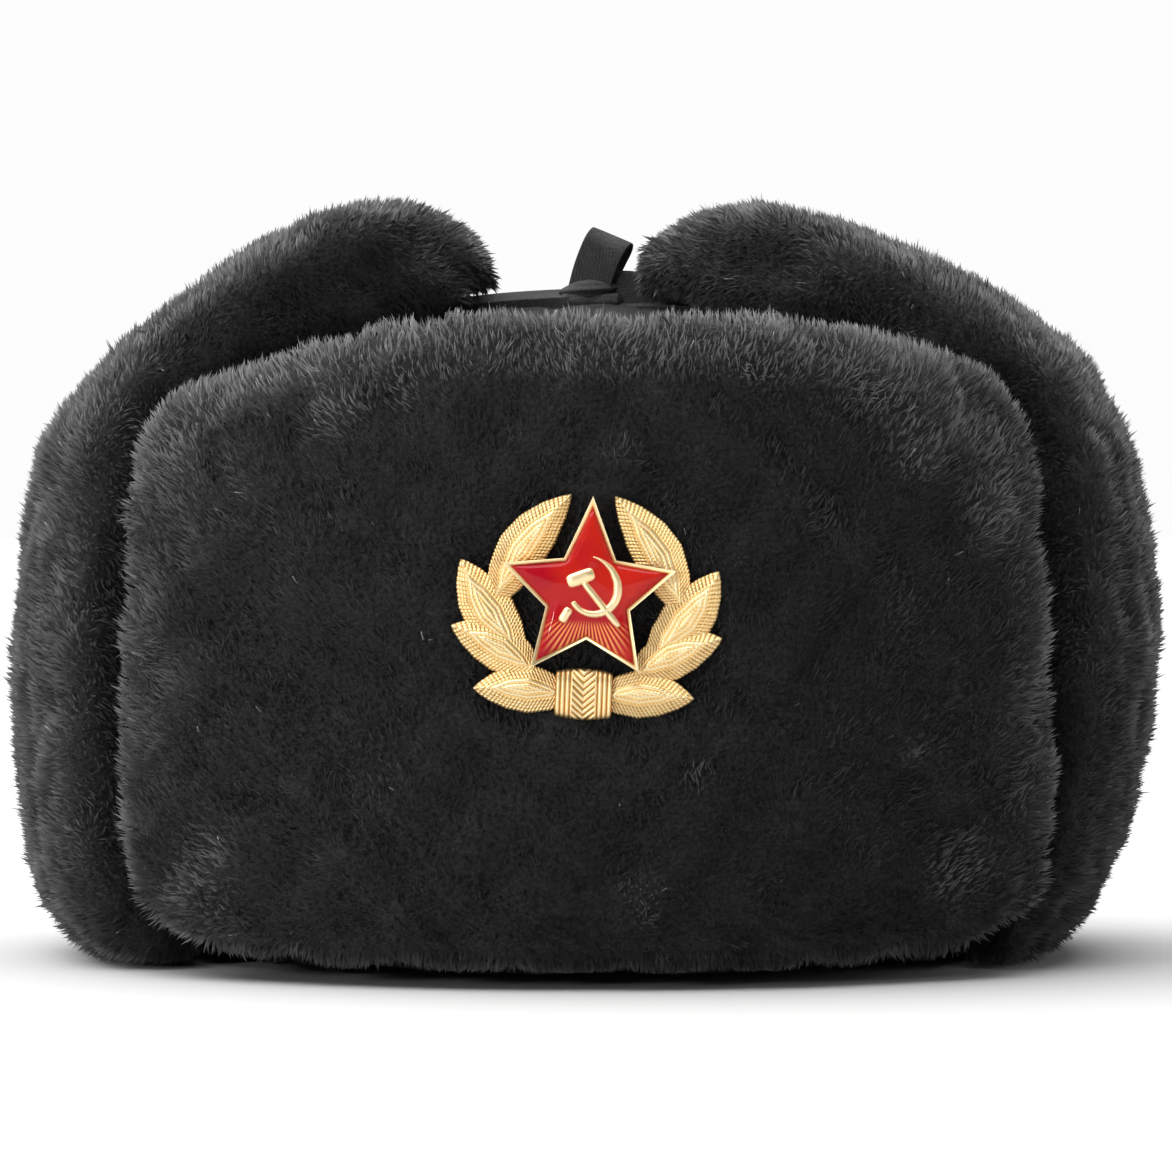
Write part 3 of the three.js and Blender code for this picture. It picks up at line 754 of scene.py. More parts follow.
@dataclass
class FurFlap:
    """One turned-up flap: a padded pelt, and the pile on its outer side. Sizes are in millimetres."""

    node: str
    lay: Lay
    seed: int
    strands: int = 46000
    voxel: float = 2.8
    smoothing: int = 15
    spread: float = 0
    inset: float = 2.5
    bare_inset: float = 0.2
    crest: float = 0
    swell: float = 0.75
    bare_gap: float = 13.5
    length: float = 3.3
    width: float = 0.34
    tilt: float = 26
    sway: float = 9
    clump: float = 2.1
    knee: float = 0.46
    sunk: float = 0.4
    lowest: float = 0.4
    softness: float = 0.8
    dabs: tuple[Dab, ...] = ()

    def is_bare(self, place: Vector, facing: Vector, crown: BVHTree) -> bool:
        """Whether a part of the flap is its bare inner side, which lies against the crown.

        Args:
            place: a place on the pelt.
            facing: the surface's direction there.
            crown: the crown's surface.

        Returns:
            True where the crown is near. The crest, which faces upwards, may come nearer.
        """
        reach = self.bare_gap * (1 - 0.75 * max(0.0, facing.z)) * MM
        return crown.ray_cast(place, facing, reach)[0] is not None

    def widen(self, shape: Shape) -> None:
        """Moves the flap's two side edges outwards.

        Args:
            shape: the pelt's shape.
        """
        start, reach = 60, 28
        for vert in shape.verts:
            share = min(1.0, max(0.0, abs(vert.co.x) / MM - start) / reach)
            vert.co.x += math.copysign(self.spread * MM * share * share * (3 - 2 * share), vert.co.x)
        shape.normal_update()

    def pelt(self, finishes: Sequence[Material], crown: BVHTree) -> Piece:
        """Makes the pelt: the solid's form without its locks, drawn in by the height of the pile.

        Args:
            finishes: its material, and the cloth of its inner side.
            crown: the crown's surface.

        Returns:
            The pelt, which replaces the solid.
        """
        broad, fine = 15, 6.5
        shape = remeshed(self.node, self.voxel, self.smoothing)
        self.widen(shape)
        for dab in self.dabs:
            dab.press(shape)
        shape.normal_update()
        places = np.array([vert.co for vert in shape.verts])
        swells = ripples(places, broad, self.seed + 12) + 0.5 * ripples(places, fine, self.seed + 13)
        upward = np.array([max(0.0, vert.normal.z) for vert in shape.verts])
        depths = self.inset - self.swell * np.minimum(swells, 1.2) - self.crest * upward**2
        bare = [self.is_bare(vert.co, vert.normal, crown) for vert in shape.verts]
        depths[bare] = self.bare_inset
        shape.verts.index_update()
        for face in shape.faces:
            face.material_index = int(all(bare[vert.index] for vert in face.verts))
        for vert, depth in zip(shape.verts, depths):
            vert.co -= vert.normal * float(depth) * MM
        relax(shape, 1)
        piece = piece_from(self.node + "_pelt", shape, finishes, [self.node])
        return piece

    def rooted(self, pelt: Piece, crown: BVHTree, rng: np.random.Generator) -> tuple[Array, Array]:
        """Spreads the strands' roots evenly over a pelt's outer side.

        Args:
            pelt: the pelt.
            crown: the crown, which the flap's bare inner side faces.
            rng: the draw that it uses.

        Returns:
            The roots, and the surface's directions there.
        """
        mesh = pelt.data
        mesh.calc_loop_triangles()
        index = rows_of(mesh.loop_triangles, "vertices", np.int32)
        corners = rows_of(mesh.vertices, "co")[index].astype(float)
        normals = rows_of(mesh.vertices, "normal")[index].astype(float)
        area = np.linalg.norm(np.cross(corners[:, 1] - corners[:, 0], corners[:, 2] - corners[:, 0]), axis=1)
        spots = zip(corners.mean(axis=1), unit(normals.mean(axis=1)))
        bare = [self.is_bare(Vector(middle), Vector(facing), crown) for middle, facing in spots]
        total = np.cumsum(np.where(bare, 0, area))
        count = self.strands
        picks = np.searchsorted(total / total[-1], (np.arange(count) + rng.uniform(size=count)) / count)
        picks = np.minimum(picks, len(area) - 1)
        first, second = rng.uniform(size=(2, count))
        over = first + second > 1
        first, second = np.where(over, 1 - first, first), np.where(over, 1 - second, second)
        weights = np.stack([1 - first - second, first, second], axis=1)[:, :, None]
        return (corners[picks] * weights).sum(axis=1), unit((normals[picks] * weights).sum(axis=1))

    def pile(self, pelt: Piece, crown: BVHTree, finish: Material) -> Piece:
        """Grows the pile as one joined mesh of thin closed spikes, four faces each.

        Args:
            pelt: what it stands on.
            crown: the crown's surface.
            finish: its material.

        Returns:
            The pile.
        """
        rng = np.random.default_rng(self.seed)
        count = self.strands
        roots, out = self.rooted(pelt, crown, rng)
        swirl = np.stack([ripples(roots, 16, self.seed + k) for k in (1, 2, 3)], axis=1)
        flow = self.lay.flow(roots, out) + 0.5 * swirl + 0.4 * rng.normal(size=(count, 3))
        flow = unit(flattened(flow, out))
        sway = ripples(roots, 11, self.seed + 4) + rng.normal(size=count)
        lean = np.radians(self.tilt + self.sway * sway)
        way = out * np.cos(lean)[:, None] + flow * np.sin(lean)[:, None]
        wisp = np.where(rng.uniform(size=count) < 0.04, 1.3, 1)
        growth = 1 + 0.14 * ripples(roots, 8, self.seed + 5)
        long = (self.length * MM * growth * rng.uniform(0.72, 1.15, count) * wisp)[:, None]
        tips = self.kept_clear(self.gathered(roots, roots + way * long))
        knees = self.kept_clear(roots + unit(out * 0.6 + way) * self.knee * long)
        side = unit(np.cross(way, out))
        roll = rng.normal(scale=0.5, size=count)[:, None]
        side = unit(side * np.cos(roll) + np.cross(way, side) * np.sin(roll))
        half = (self.width * MM / 2 * rng.uniform(0.7, 1.3, count))[:, None]
        below = roots - out * self.sunk * MM
        points = np.stack([below, knees - side * half, knees + side * half, tips], axis=1)
        tone = self.tones(roots, out, rng)
        soft = unit(out * self.softness + way * (1 - self.softness))
        return self.strand_mesh(points, soft, tone, finish)

    def gathered(self, roots: Array, tips: Array) -> Array:
        """Draws the tips of neighbouring strands together into tufts.

        Args:
            roots: where the strands start.
            tips: where they end.

        Returns:
            The gathered tips.
        """
        warp = np.stack([ripples(roots, 5, self.seed + k) for k in (6, 7, 8)], axis=1) * 0.9 * MM
        cells = np.floor((roots + warp) / (self.clump * MM)).astype(np.int64)
        cell = np.unique(cells, axis=0, return_inverse=True)[1].ravel()
        size = np.bincount(cell)
        middle = np.stack([np.bincount(cell, column) / size for column in tips.T], axis=1)[cell]
        pull = np.random.default_rng(self.seed + 9).uniform(0.05, 0.5, len(size))[cell]
        return tips + (middle - tips) * pull[:, None]

    def kept_clear(self, points: Array) -> Array:
        """Keeps strands above the floor, and off the cockade where it presses the pile flat.

        Args:
            points: places on the strands.

        Returns:
            The places that they may take.
        """
        points = points.copy()
        points[:, 2] = np.maximum(points[:, 2], self.lowest * MM)
        if self.lay is Lay.FOREHEAD:
            pressed = COCKADE.covers(points)
            points[pressed, 1] = np.maximum(points[pressed, 1], COCKADE.back)
        return points

    def tones(self, roots: Array, out: Array, rng: np.random.Generator) -> Array:
        """Each strand's tone, from 0 dark to 1 bright: random patches, with painted light over them: a pale
        rim where the pile turns away from the front, and paler pile where it faces up and to the left.

        Args:
            roots: where the strands start.
            out: the surface's directions there.
            rng: the draw that it uses.

        Returns:
            The tones.
        """
        # Painted rim light: the pile is paler where its surface turns away from the front, and on the
        # forehead flap's outer band.
        if self.lay is Lay.FOREHEAD:
            middle_height, half_width, half_height = 70, 97, 60
            across, height = roots[:, 0] / MM, roots[:, 2] / MM
            reach = (across / half_width) ** 4 + ((height - middle_height) / half_height) ** 4
            painted_rim_band = np.clip((reach**0.25 - 0.82) / 0.07, 0, 1) * np.clip((height - 20) / 30, 0, 1)
            turned = np.clip(np.maximum(1.5 * (0.98 + out[:, 1]), painted_rim_band), 0, 1)
        else:
            turned = np.clip(0.94 + 0.6 * out[:, 1], 0, 0.92)
        # Painted light: the pile is paler where it faces up and to the left, towards the lamps. The dabs add
        # painted light on swells and painted shade in dents.
        lit = np.clip(0.88 * out[:, 2] - 0.1 * out[:, 0] + 0.24, 0, 1.1)
        patch = 0.05 * ripples(roots, 24, self.seed + 10) + 0.05 * ripples(roots, 5, self.seed + 11)
        rim = 0.46 * turned * (0.3 + lit) + sum(dab.painted_light_and_shade(roots) for dab in self.dabs)
        tone = 0.3 + patch + rim + (0.03 + 0.14 * np.clip(rim, 0, 1)) * rng.normal(size=len(roots))
        # Painted glints: a few strands, more of them on the painted rim, get the near white tone.
        painted_glint = rng.uniform(size=len(roots)) < 0.0006 + 0.012 * rim
        return np.clip(np.where(painted_glint, 1, np.minimum(tone, 0.88)), 0.02, 0.98)

    def strand_mesh(self, points: Array, soft: Array, tone: Array, finish: Material) -> Piece:
        """Joins the spikes into one mesh with its map of tone across and root to tip upwards.

        Args:
            points: each spike's root, two shoulders and tip.
            soft: the direction that each spike is shaded by, so that the pile looks plush.
            tone: each spike's tone.
            finish: the material.

        Returns:
            The pile.
        """
        a, b, c, d = points.transpose(1, 0, 2)
        inside_out = (np.cross(b - a, c - a) * (d - a)).sum(axis=1) < 0
        points[inside_out, 1], points[inside_out, 2] = points[inside_out, 2], points[inside_out, 1].copy()
        count = len(points)
        pattern = np.array([[0, 2, 1], [0, 1, 3], [1, 2, 3], [0, 3, 2]])
        faces = (np.arange(count)[:, None, None] * 4 + pattern).reshape(-1, 3)
        mesh = bpy.data.meshes.new(self.node + "_pile")
        mesh.from_pydata(points.reshape(-1, 3).tolist(), [], faces.tolist())
        across = tone[:, None] + np.array([0, -0.006, 0.006, 0])
        up = np.broadcast_to((0.02, self.knee, self.knee, 0.98), (count, 4))
        mapped = np.stack([across, up], axis=2).reshape(-1, 2)[faces.ravel()]
        layer = mesh.uv_layers.new(name=OWN_MAP, do_init=False)
        layer.uv.foreach_set("vector", mapped.astype(np.float32).ravel())
        mesh.validate()
        piece = piece_from(mesh.name, mesh, [finish])
        mesh.normals_split_custom_set_from_vertices(np.repeat(soft, 4, axis=0).astype(np.float32))
        return piece

    def build(self, pelt_finishes: Sequence[Material], pile_finish: Material, crown: BVHTree) -> list[Piece]:
        """Makes the flap.

        Args:
            pelt_finishes: the pelt's material, and the cloth of its inner side.
            pile_finish: the pile's material.
            crown: the crown's surface.

        Returns:
            The pelt and the pile.
        """
        pelt = self.pelt(pelt_finishes, crown)
        return [pelt, self.pile(pelt, crown, pile_finish)]


@dataclass
class Crown:
    """The padded cloth crown: four panels with pressed seams, and its lining. Sizes are in millimetres."""

    node: str = "crown"
    voxel: float = 2.3
    smoothing: int = 4
    seam_depth: float = 1.0
    seam_width: float = 1.7
    pucker: float = 0.3
    pucker_length: float = 8.5
    pucker_reach: float = 10
    wrinkle: float = 0.55
    heart: float = 60

    def surface(self) -> BVHTree:
        """Reads the crown's own surface.

        Returns:
            A tree for tests of what lies near it.
        """
        shape = merged_copy(self.node)
        tree = BVHTree.FromBMesh(shape)
        shape.free()
        return tree

    @property
    def half_sizes(self) -> tuple[float, float]:
        """The half-width and half-length of the crown's oval."""
        low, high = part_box(self.node)
        return (high[0] - low[0]) / 2 / MM, (high[1] - low[1]) / 2 / MM

    def lifts(self, places: Array) -> Array:
        """How far the cloth stands out from the solid: seams, puckers beside them and soft wrinkles.

        Args:
            places: places on the cloth, in millimetres.

        Returns:
            A height for each place.
        """
        half_width, half_length = self.half_sizes
        aside = np.abs(np.abs(places[:, 0]) * half_length - np.abs(places[:, 1]) * half_width)
        gap = aside / math.hypot(half_width, half_length)
        reach = np.hypot(places[:, 0], places[:, 1])
        run = reach - places[:, 2] + 3 * ripples(places * MM, 20, 71)
        groove = np.exp(-((gap / self.seam_width) ** 2)) - 0.35 * np.exp(-(((gap - 3.4) / 2) ** 2))
        gather = np.exp(-((gap / self.pucker_reach) ** 2)) * np.clip(reach / 20, 0, 1)
        puckers = self.pucker * gather * np.sin(math.tau * run / self.pucker_length)
        wrinkles = self.wrinkle * (ripples(places * MM, 27, 72) + 0.3 * ripples(places * MM, 9, 73))
        return puckers + wrinkles - self.seam_depth * groove

    def build(self, cloth: Material, lining: Material) -> list[Piece]:
        """Makes the crown's cloth and lining from the solid's form.

        Args:
            cloth: the material of its outside.
            lining: the material of its inside.

        Returns:
            The crown.
        """
        shape = remeshed(self.node, self.voxel, self.smoothing)
        heart = Vector((0, 0, self.heart * MM))
        outside = [vert.normal.dot(vert.co - heart) > 0 for vert in shape.verts]
        lifts = self.lifts(np.array([vert.co for vert in shape.verts]) / MM)
        for vert, out, lift in zip(shape.verts, outside, lifts):
            if out:
                vert.co += vert.normal * float(lift) * MM
        shape.normal_update()
        for face in shape.faces:
            face.material_index = int(face.normal.dot(face.calc_center_median() - heart) < 0)
        piece = piece_from("crown_cloth", shape, [cloth, lining], [self.node])
        return [piece]


@dataclass(frozen=True)
class Ties:
    """The woven tapes, their knot with a turn of tape over it, the bow's one loop and one end.

    Sizes are in millimetres.
    """

    tuck: float = 2.3
    reach_under: float = 6
    last: float = 1.2
    seat: float = 0.9
    lift: float = 1.9
    wrap_middle: Place = (0.5, -2.6, 142.1)
    wrap_half: Place = (6.4, 3.3, 2.2)
    wrap_rise: float = 5
    end_middle: Place = (11.6, -1.2, 141.4)
    end_half: Place = (6.6, 0.75, 4.6)
    end_turn: float = 12
    end_lean: float = 6

    def tucked(self, node: str) -> Shape:
        """A tie's shape seated on the cloth, with its ends run on into the knot and under the ear flap.

        Args:
            node: the tie's solid.

        Returns:
            The shape.
        """
        ends = {"tie_tape_left": (0, 1), "tie_tape_right": (0, -1), "tie_loop": (2, -1)}
        shape = merged_copy(node)
        if node in ends:
            axis, way = ends[node]
            near = max(vert.co[axis] * way for vert in shape.verts) - self.last * MM
            far = min(vert.co[axis] * way for vert in shape.verts) + self.last * MM
            for vert in shape.verts:
                if vert.co[axis] * way > near:
                    vert.co[axis] += way * self.tuck * MM
                elif axis == 0 and vert.co.x * way < far:
                    vert.co.x -= way * self.reach_under * MM
        if node != "tie_loop":
            bmesh.ops.translate(shape, verts=shape.verts, vec=(0, 0, -self.seat * MM))
        if node == "tie_tape_left":
            low = min(vert.co.x for vert in shape.verts)
            high = max(vert.co.x for vert in shape.verts)
            shape.normal_update()
            for vert in (vert for vert in shape.verts if vert.normal.z > 0):
                vert.co.z += self.lift * MM * ((vert.co.x - low) / (high - low)) ** 0.7
        return shape

    def wrap(self) -> Shape:
        """Makes the turn of tape that is pulled tight over the knot.

        Returns:
            A lens with soft folds along it.
        """
        shape = bmesh.new()
        bmesh.ops.create_uvsphere(shape, u_segments=44, v_segments=30, radius=1)
        half_x, half_y, half_z = self.wrap_half
        for vert in shape.verts:
            x, y, z = vert.co
            fold = 1 + 0.07 * math.cos(8 * z + 1.2 * x) * (1 - x * x)
            pinch = fold * (1 - 0.3 * abs(x) ** 1.5)
            vert.co = (x * half_x, y * pinch * half_y, z * pinch * half_z)
        return placed(shape, self.wrap_middle, Matrix.Rotation(-math.radians(self.wrap_rise), 4, "Y"))

    def end(self) -> Shape:
        """Makes the right tape's end, which stands up beside the knot.

        Returns:
            A flat and bowed tongue.
        """
        shape = bmesh.new()
        bmesh.ops.create_uvsphere(shape, u_segments=40, v_segments=24, radius=1)
        half_x, half_y, half_z = self.end_half
        for vert in shape.verts:
            x, y, z = (math.copysign(abs(share) ** 0.45, share) for share in vert.co)
            bow = 0.8 * (x * x - 0.5)
            vert.co = (x * half_x, y * half_y + bow, z * half_z)
        turn = Matrix.Rotation(math.radians(self.end_turn), 4, "Z")
        lean = Matrix.Rotation(math.radians(self.end_lean), 4, "Y")
        return placed(shape, self.end_middle, turn @ lean)

    def build(self, finish: Material) -> list[Piece]:
        """Makes each tie from its solid's form, with softened edges.

        Args:
            finish: their material.

        Returns:
            The ties.
        """
        bevel = ("BEVEL", {"width": 0.25 * MM, "segments": 2, "limit_method": "ANGLE"})
        subdivide = ("SUBSURF", {"levels": 2, "render_levels": 2})
        pieces = []
        for node in ("tie_tape_left", "tie_tape_right", "tie_knot", "tie_loop"):
            shape = with_modifiers(self.tucked(node), bevel, subdivide)
            pieces.append(piece_from(node + "_woven", shape, [finish], [node]))
        pieces.append(piece_from("tie_wrap_woven", self.wrap(), [finish]))
        pieces.append(piece_from("tie_end_woven", self.end(), [finish]))
        return pieces


class Spot(NamedTuple):
    """A place on a strip of relief, in the cockade's plane, and what its metal keeps there."""

    u: float
    v: float
    w: float
    relief: float
    run: float = 0
    edge: float = 0


@dataclass(frozen=True)
class Leaf:
    """A leaf of the wreath's +U side: its root, tip and half-width, as shares of the star radius."""

    root: tuple[float, float]
    tip: tuple[float, float]
    half_width: float
    bow: float


@dataclass
class Cockade:
    """The enamelled star in its wreath. Sizes are in millimetres, in its own plane: u, v and out w."""

    star_radius: float = 18.3
    star_inner_radius: float = 8.8
    top_stretch: float = 1.07
    centre_x: float = 0.48
    centre_z: float = 78.9
    tilt: float = -2.8
    leaf_edge: float = 0.8
    leaf_ridge: float = 1.2
    star_base: float = 2.3
    star_plate: float = 0.9
    rim_width: float = 0.85
    rim_height: float = 1.0
    emblem_height: float = 1.7
    enamel_gap: float = 0.12
    enamel_thickness: float = 0.65
    enamel_dome: float = 0.45
    seat_gap: float = 0.5
    bead: float = 0.74
    leaves: tuple[Leaf, ...] = (
        Leaf((1, -0.05), (0.24, 1.08), 0.27, 0.07),
        Leaf((0.76, -0.58), (1.4, 0.32), 0.28, 0.05),
        Leaf((0.56, -0.83), (1.47, -0.4), 0.26, -0.04),
        Leaf((0.2, -1.09), (1.2, -1.07), 0.26, -0.035),
    )

    @property
    def plane(self) -> float:
        """The height along Y of the cockade's back, in metres."""
        top = self.star_base + self.star_plate + self.emblem_height
        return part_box("badge_star")[0][1] + top * MM

    @property
    def back(self) -> float:
        """How far forward the pile behind the cockade may reach, in metres along Y."""
        return self.plane + self.seat_gap * MM

    @property
    def tray(self) -> float:
        """The floor of the star's tray."""
        return self.star_base + self.star_plate

    def covers(self, points: Array) -> Array:
        """Tells which points lie in the space behind or around the cockade.

        Args:
            points: places in metres, a row each.

        Returns:
            Whether each of them does.
        """
        u = (points[:, 0] / MM - self.centre_x) / (1.55 * self.star_radius)
        v = (points[:, 2] / MM - self.centre_z + 0.13 * self.star_radius) / (1.32 * self.star_radius)
        return np.abs(u) ** 2.8 + np.abs(v) ** 2.8 < 1

    def seated(self, shape: Shape) -> Shape:
        """Turns a shape from the cockade's plane to its place on the forehead flap."""
        turn = Matrix.Rotation(math.pi / 2, 4, "X") @ Matrix.Rotation(math.radians(self.tilt), 4, "Z")
        return placed(shape, (self.centre_x, self.plane / MM, self.centre_z), turn)

    @staticmethod
    def relief_strip(steps: tuple[int, int], base: float, place: Callable[[float, float], Spot]) -> Shape:
        """A closed strip of relief on a flat back.

        Args:
            steps: how many faces it has along and across.
            base: the height of its back.
            place: gives the spot for a share along (0 to 1) and across (-1 to 1).

        Returns:
            The strip.
        """
        shape = bmesh.new()
        bmesh.ops.create_grid(shape, x_segments=steps[0], y_segments=steps[1], size=0.5)
        layers = [shape.verts.layers.float.new(name) for name in (RELIEF, RUN, EDGE)]
        for vert in shape.verts:
            spot = place(vert.co.x + 0.5, 2 * vert.co.y)
            vert.co = spot[:3]
            for layer, kept in zip(layers, spot[3:]):
                vert[layer] = kept
        rim = [edge for edge in shape.edges if edge.is_boundary]
        skirt = bmesh.ops.extrude_edge_only(shape, edges=rim)["geom"]
        for vert in (part for part in skirt if isinstance(part, bmesh.types.BMVert)):
            vert.co.z = base
            vert[layers[0]] = 0
        bmesh.ops.holes_fill(shape, edges=[edge for edge in shape.edges if edge.is_boundary], sides=0)
        bmesh.ops.remove_doubles(shape, verts=shape.verts, dist=1e-4)
        bmesh.ops.recalc_face_normals(shape, faces=shape.faces)
        return shape

    def leaf_strip(self, leaf: Leaf, side: int) -> Shape:
        """A leaf with its midrib, an inner outline and a beaded edge.

        Args:
            leaf: which leaf.
            side: 1 for the +U side, -1 for its mirror.

        Returns:
            The leaf.
        """
        root = Vector((side * leaf.root[0], leaf.root[1])) * self.star_radius
        tip = Vector((side * leaf.tip[0], leaf.tip[1])) * self.star_radius
        axis = tip - root
        out = Vector((axis.y, -axis.x)).normalized() * side
        length = axis.length
        half = leaf.half_width * self.star_radius
        alongs = (0, 0.16, 0.4, 0.62, 0.82, 0.94, 1)
        wides = (0.45, 0.78, 1, 0.88, 0.55, 0.24, 0.03)
        highs = (0.4, 0.75, 1, 0.95, 0.75, 0.5, 0.2)

        def place(along: float, across: float) -> Spot:
            """The leaf's spot.

            Args:
                along: the share of its length from the root, 0 to 1.
                across: the share of its half-width, -1 to 1.

            Returns:
                The spot.
            """
            wide = half * float(np.interp(along, alongs, wides))
            beads = abs(math.sin(math.pi * along * length / self.bead))
            reach = across * wide * (1 + 0.035 * beads * abs(across) ** 8)
            bow = leaf.bow * self.star_radius * 4 * along * (1 - along)
            spot = root + axis * along + out * (reach + bow)
            roof = float(np.interp(along, alongs, highs)) * (1 - abs(across) ** 1.5)
            midrib = math.exp(-((reach / 0.3) ** 2))
            nested = math.exp(-(((abs(across) - 0.5) / 0.06) ** 2)) * (along < 0.8)
            relief = 0.55 + 0.4 * midrib - 0.35 * nested
            height = self.leaf_edge + self.leaf_ridge * roof * 0.85 + 0.15 * (relief - 0.5)
            return Spot(spot.x, spot.y, height, relief, along * length, wide * (1 - abs(across)))

        return self.relief_strip((148, 18), 0, place)

    def binding(self) -> Shape:
        """Makes the ribbon that binds the wreath at its foot.

        Returns:
            A strip with bands at its sides and chevrons between.
        """
        half_length = 0.31 * self.star_radius
        half_width = 0.28 * self.star_radius
        middle = -1.08 * self.star_radius

        def place(along: float, across: float) -> Spot:
            """The binding's spot.

            Args:
                along: the share of its length, 0 to 1.
                across: the share of its half-width, -1 to 1.

            Returns:
                The spot.
            """
            u = (2 * along - 1) * half_length
            reach = abs(2 * along - 1)
            v = across * half_width * (1 - 0.14 * reach**2)
            chevron = math.sin(math.tau * (v - 0.9 * abs(u)) / 1.3)
            bands = math.cos(math.tau * (abs(u) - 0.4 * half_length) / 0.95)
            relief = 0.5 + 0.5 * (chevron if reach < 0.4 else bands)
            roof = (1 - abs(across) ** 3) ** 0.5
            height = 0.6 + 1.75 * roof * (1 - 0.12 * reach) + 0.28 * relief
            return Spot(u, middle + v, height, relief)

        strip = self.relief_strip((72, 48), 0, place)
        for face in strip.faces:
            face.material_index = 1
        return strip

    def star_outline(self, inset: float) -> list[Vector]:
        """A five-pointed star's ten corners, drawn in from its edges.

        Args:
            inset: how far it is drawn in.

        Returns:
            Its corners, from the top tip on.
        """
        tip = Vector((self.star_radius, 0))
        turn = math.pi / 5
        notch = Vector((self.star_inner_radius * math.cos(turn), self.star_inner_radius * math.sin(turn)))
        edge_distance = abs(tip.cross(notch)) / (tip - notch).length
        scale = (edge_distance - inset) / edge_distance
        radii = [(self.star_radius, self.star_inner_radius)[step % 2] * scale for step in range(10)]
        radii[0] *= self.top_stretch
        angles = [math.pi / 2 + step * turn for step in range(10)]
        return [Vector((radius * math.cos(a), radius * math.sin(a), 0)) for radius, a in zip(radii, angles)]

    def star_plate_shape(self, inset: float, low: float, high: float) -> Shape:
        """A star-shaped plate between two heights.

        Args:
            inset: how far its outline is drawn in.
            low: its back.
            high: its front.

        Returns:
            The plate.
        """
        shape = bmesh.new()
        bmesh.ops.create_circle(shape, cap_ends=True, segments=10, radius=1)

        def turned(co: Vector) -> float:
            """How far round the star a place lies."""
            return math.atan2(co.x, co.y) % math.tau

        ring = sorted(shape.verts, key=lambda vert: turned(vert.co), reverse=True)
        corners = sorted(self.star_outline(inset), key=turned, reverse=True)
        for vert, corner in zip(ring, corners):
            vert.co = (corner.x, corner.y, low)
        top = bmesh.ops.extrude_face_region(shape, geom=list(shape.faces))["geom"]
        lifted = [part for part in top if isinstance(part, bmesh.types.BMVert)]
        bmesh.ops.translate(shape, verts=lifted, vec=(0, 0, high - low))
        bmesh.ops.recalc_face_normals(shape, faces=shape.faces)
        return shape

    def star(self) -> Shape:
        """Makes the star's tray with its raised and rounded rim.

        Returns:
            The tray.
        """
        top = self.tray + self.rim_height
        shape = self.star_plate_shape(0, self.star_base, top)
        face = max(shape.faces, key=lambda face: face.calc_center_median().z)
        bmesh.ops.inset_region(shape, faces=[face], thickness=self.rim_width, use_even_offset=True)
        floor = max((face for face in shape.faces if face.normal.z > 0.9), key=lambda face: len(face.verts))
        bmesh.ops.translate(shape, verts=floor.verts, vec=(0, 0, self.tray - top))
        crest = [edge for edge in shape.edges if all(vert.co.z > top - 0.01 for vert in edge.verts)]
        rounding = {"offset": 0.26, "segments": 3, "profile": 0.5, "affect": "EDGES", "clamp_overlap": True}
        bmesh.ops.bevel(shape, geom=crest, material=-1, **rounding)
        layer = shape.verts.layers.float.new(RELIEF)
        # A high relief value makes the gilt paler: a painted highlight on the rim's crest.
        for vert in shape.verts:
            vert[layer] = 0.85 if vert.co.z > top - 0.5 else 0.3
        return shape

    def emblem(self) -> list[Shape]:
        """Makes the hammer and sickle in rounded relief.

        Returns:
            The blade, the grip, the shaft and the head.
        """
        radius = self.star_radius
        angles = (97, 70, 40, 8, -25, -58, -92, -125, -150)
        outers = (0.37, 0.33, 0.305, 0.295, 0.295, 0.3, 0.305, 0.31, 0.31)
        thicks = (0.02, 0.06, 0.095, 0.11, 0.108, 0.098, 0.085, 0.075, 0.07)
        base = self.tray - 0.3
        # The emblem's relief value is high, so the gilt paints it pale: a painted highlight.
        bright = 0.8

        def rounded(across: float) -> float:
            """The height of a rounded bar for a share across."""
            return self.tray + self.emblem_height * (0.5 + 0.5 * math.sqrt(max(0.0, 1 - across**2)))

        def blade(along: float, across: float) -> Spot:
            """The blade's spot.

            Args:
                along: the share of its length from the tip, 0 to 1.
                across: the share of its width, -1 to 1.

            Returns:
                The spot.
            """
            step = along * (len(angles) - 1)
            angle, outer, thick = (
                float(np.interp(step, range(len(angles)), row)) for row in (angles, outers, thicks)
            )
            reach = radius * (outer - thick * (1 - across) / 2)
            u = 0.075 * radius + reach * math.cos(math.radians(angle))
            v = 0.06 * radius + reach * math.sin(math.radians(angle))
            return Spot(u, v, rounded(across), bright)

        shapes = [self.relief_strip((64, 8), base, blade)]
        bars = (
            ((-0.195, -0.15), (-0.28, -0.3), 0.11),
            ((-0.07, 0.15), (0.345, -0.325), 0.088),
            ((-0.235, 0.125), (0.05, 0.245), 0.165),
        )
        for start, end, wide in bars:
            begin = Vector(start) * radius
            travel = Vector(end) * radius - begin
            out = Vector((-travel.y, travel.x)).normalized() * wide * radius / 2

            def bar(along: float, across: float) -> Spot:
                """A bar's spot.

                Args:
                    along: the share of its length, 0 to 1.
                    across: the share of its half-width, -1 to 1.

                Returns:
                    The spot.
                """
                end_share = abs(2 * along - 1) ** 6
                spot = begin + travel * along + out * across * (1 - 0.25 * end_share)
                return Spot(spot.x, spot.y, rounded(across) - 0.3 * end_share, bright)

            shapes.append(self.relief_strip((16, 8), base, bar))
        return shapes

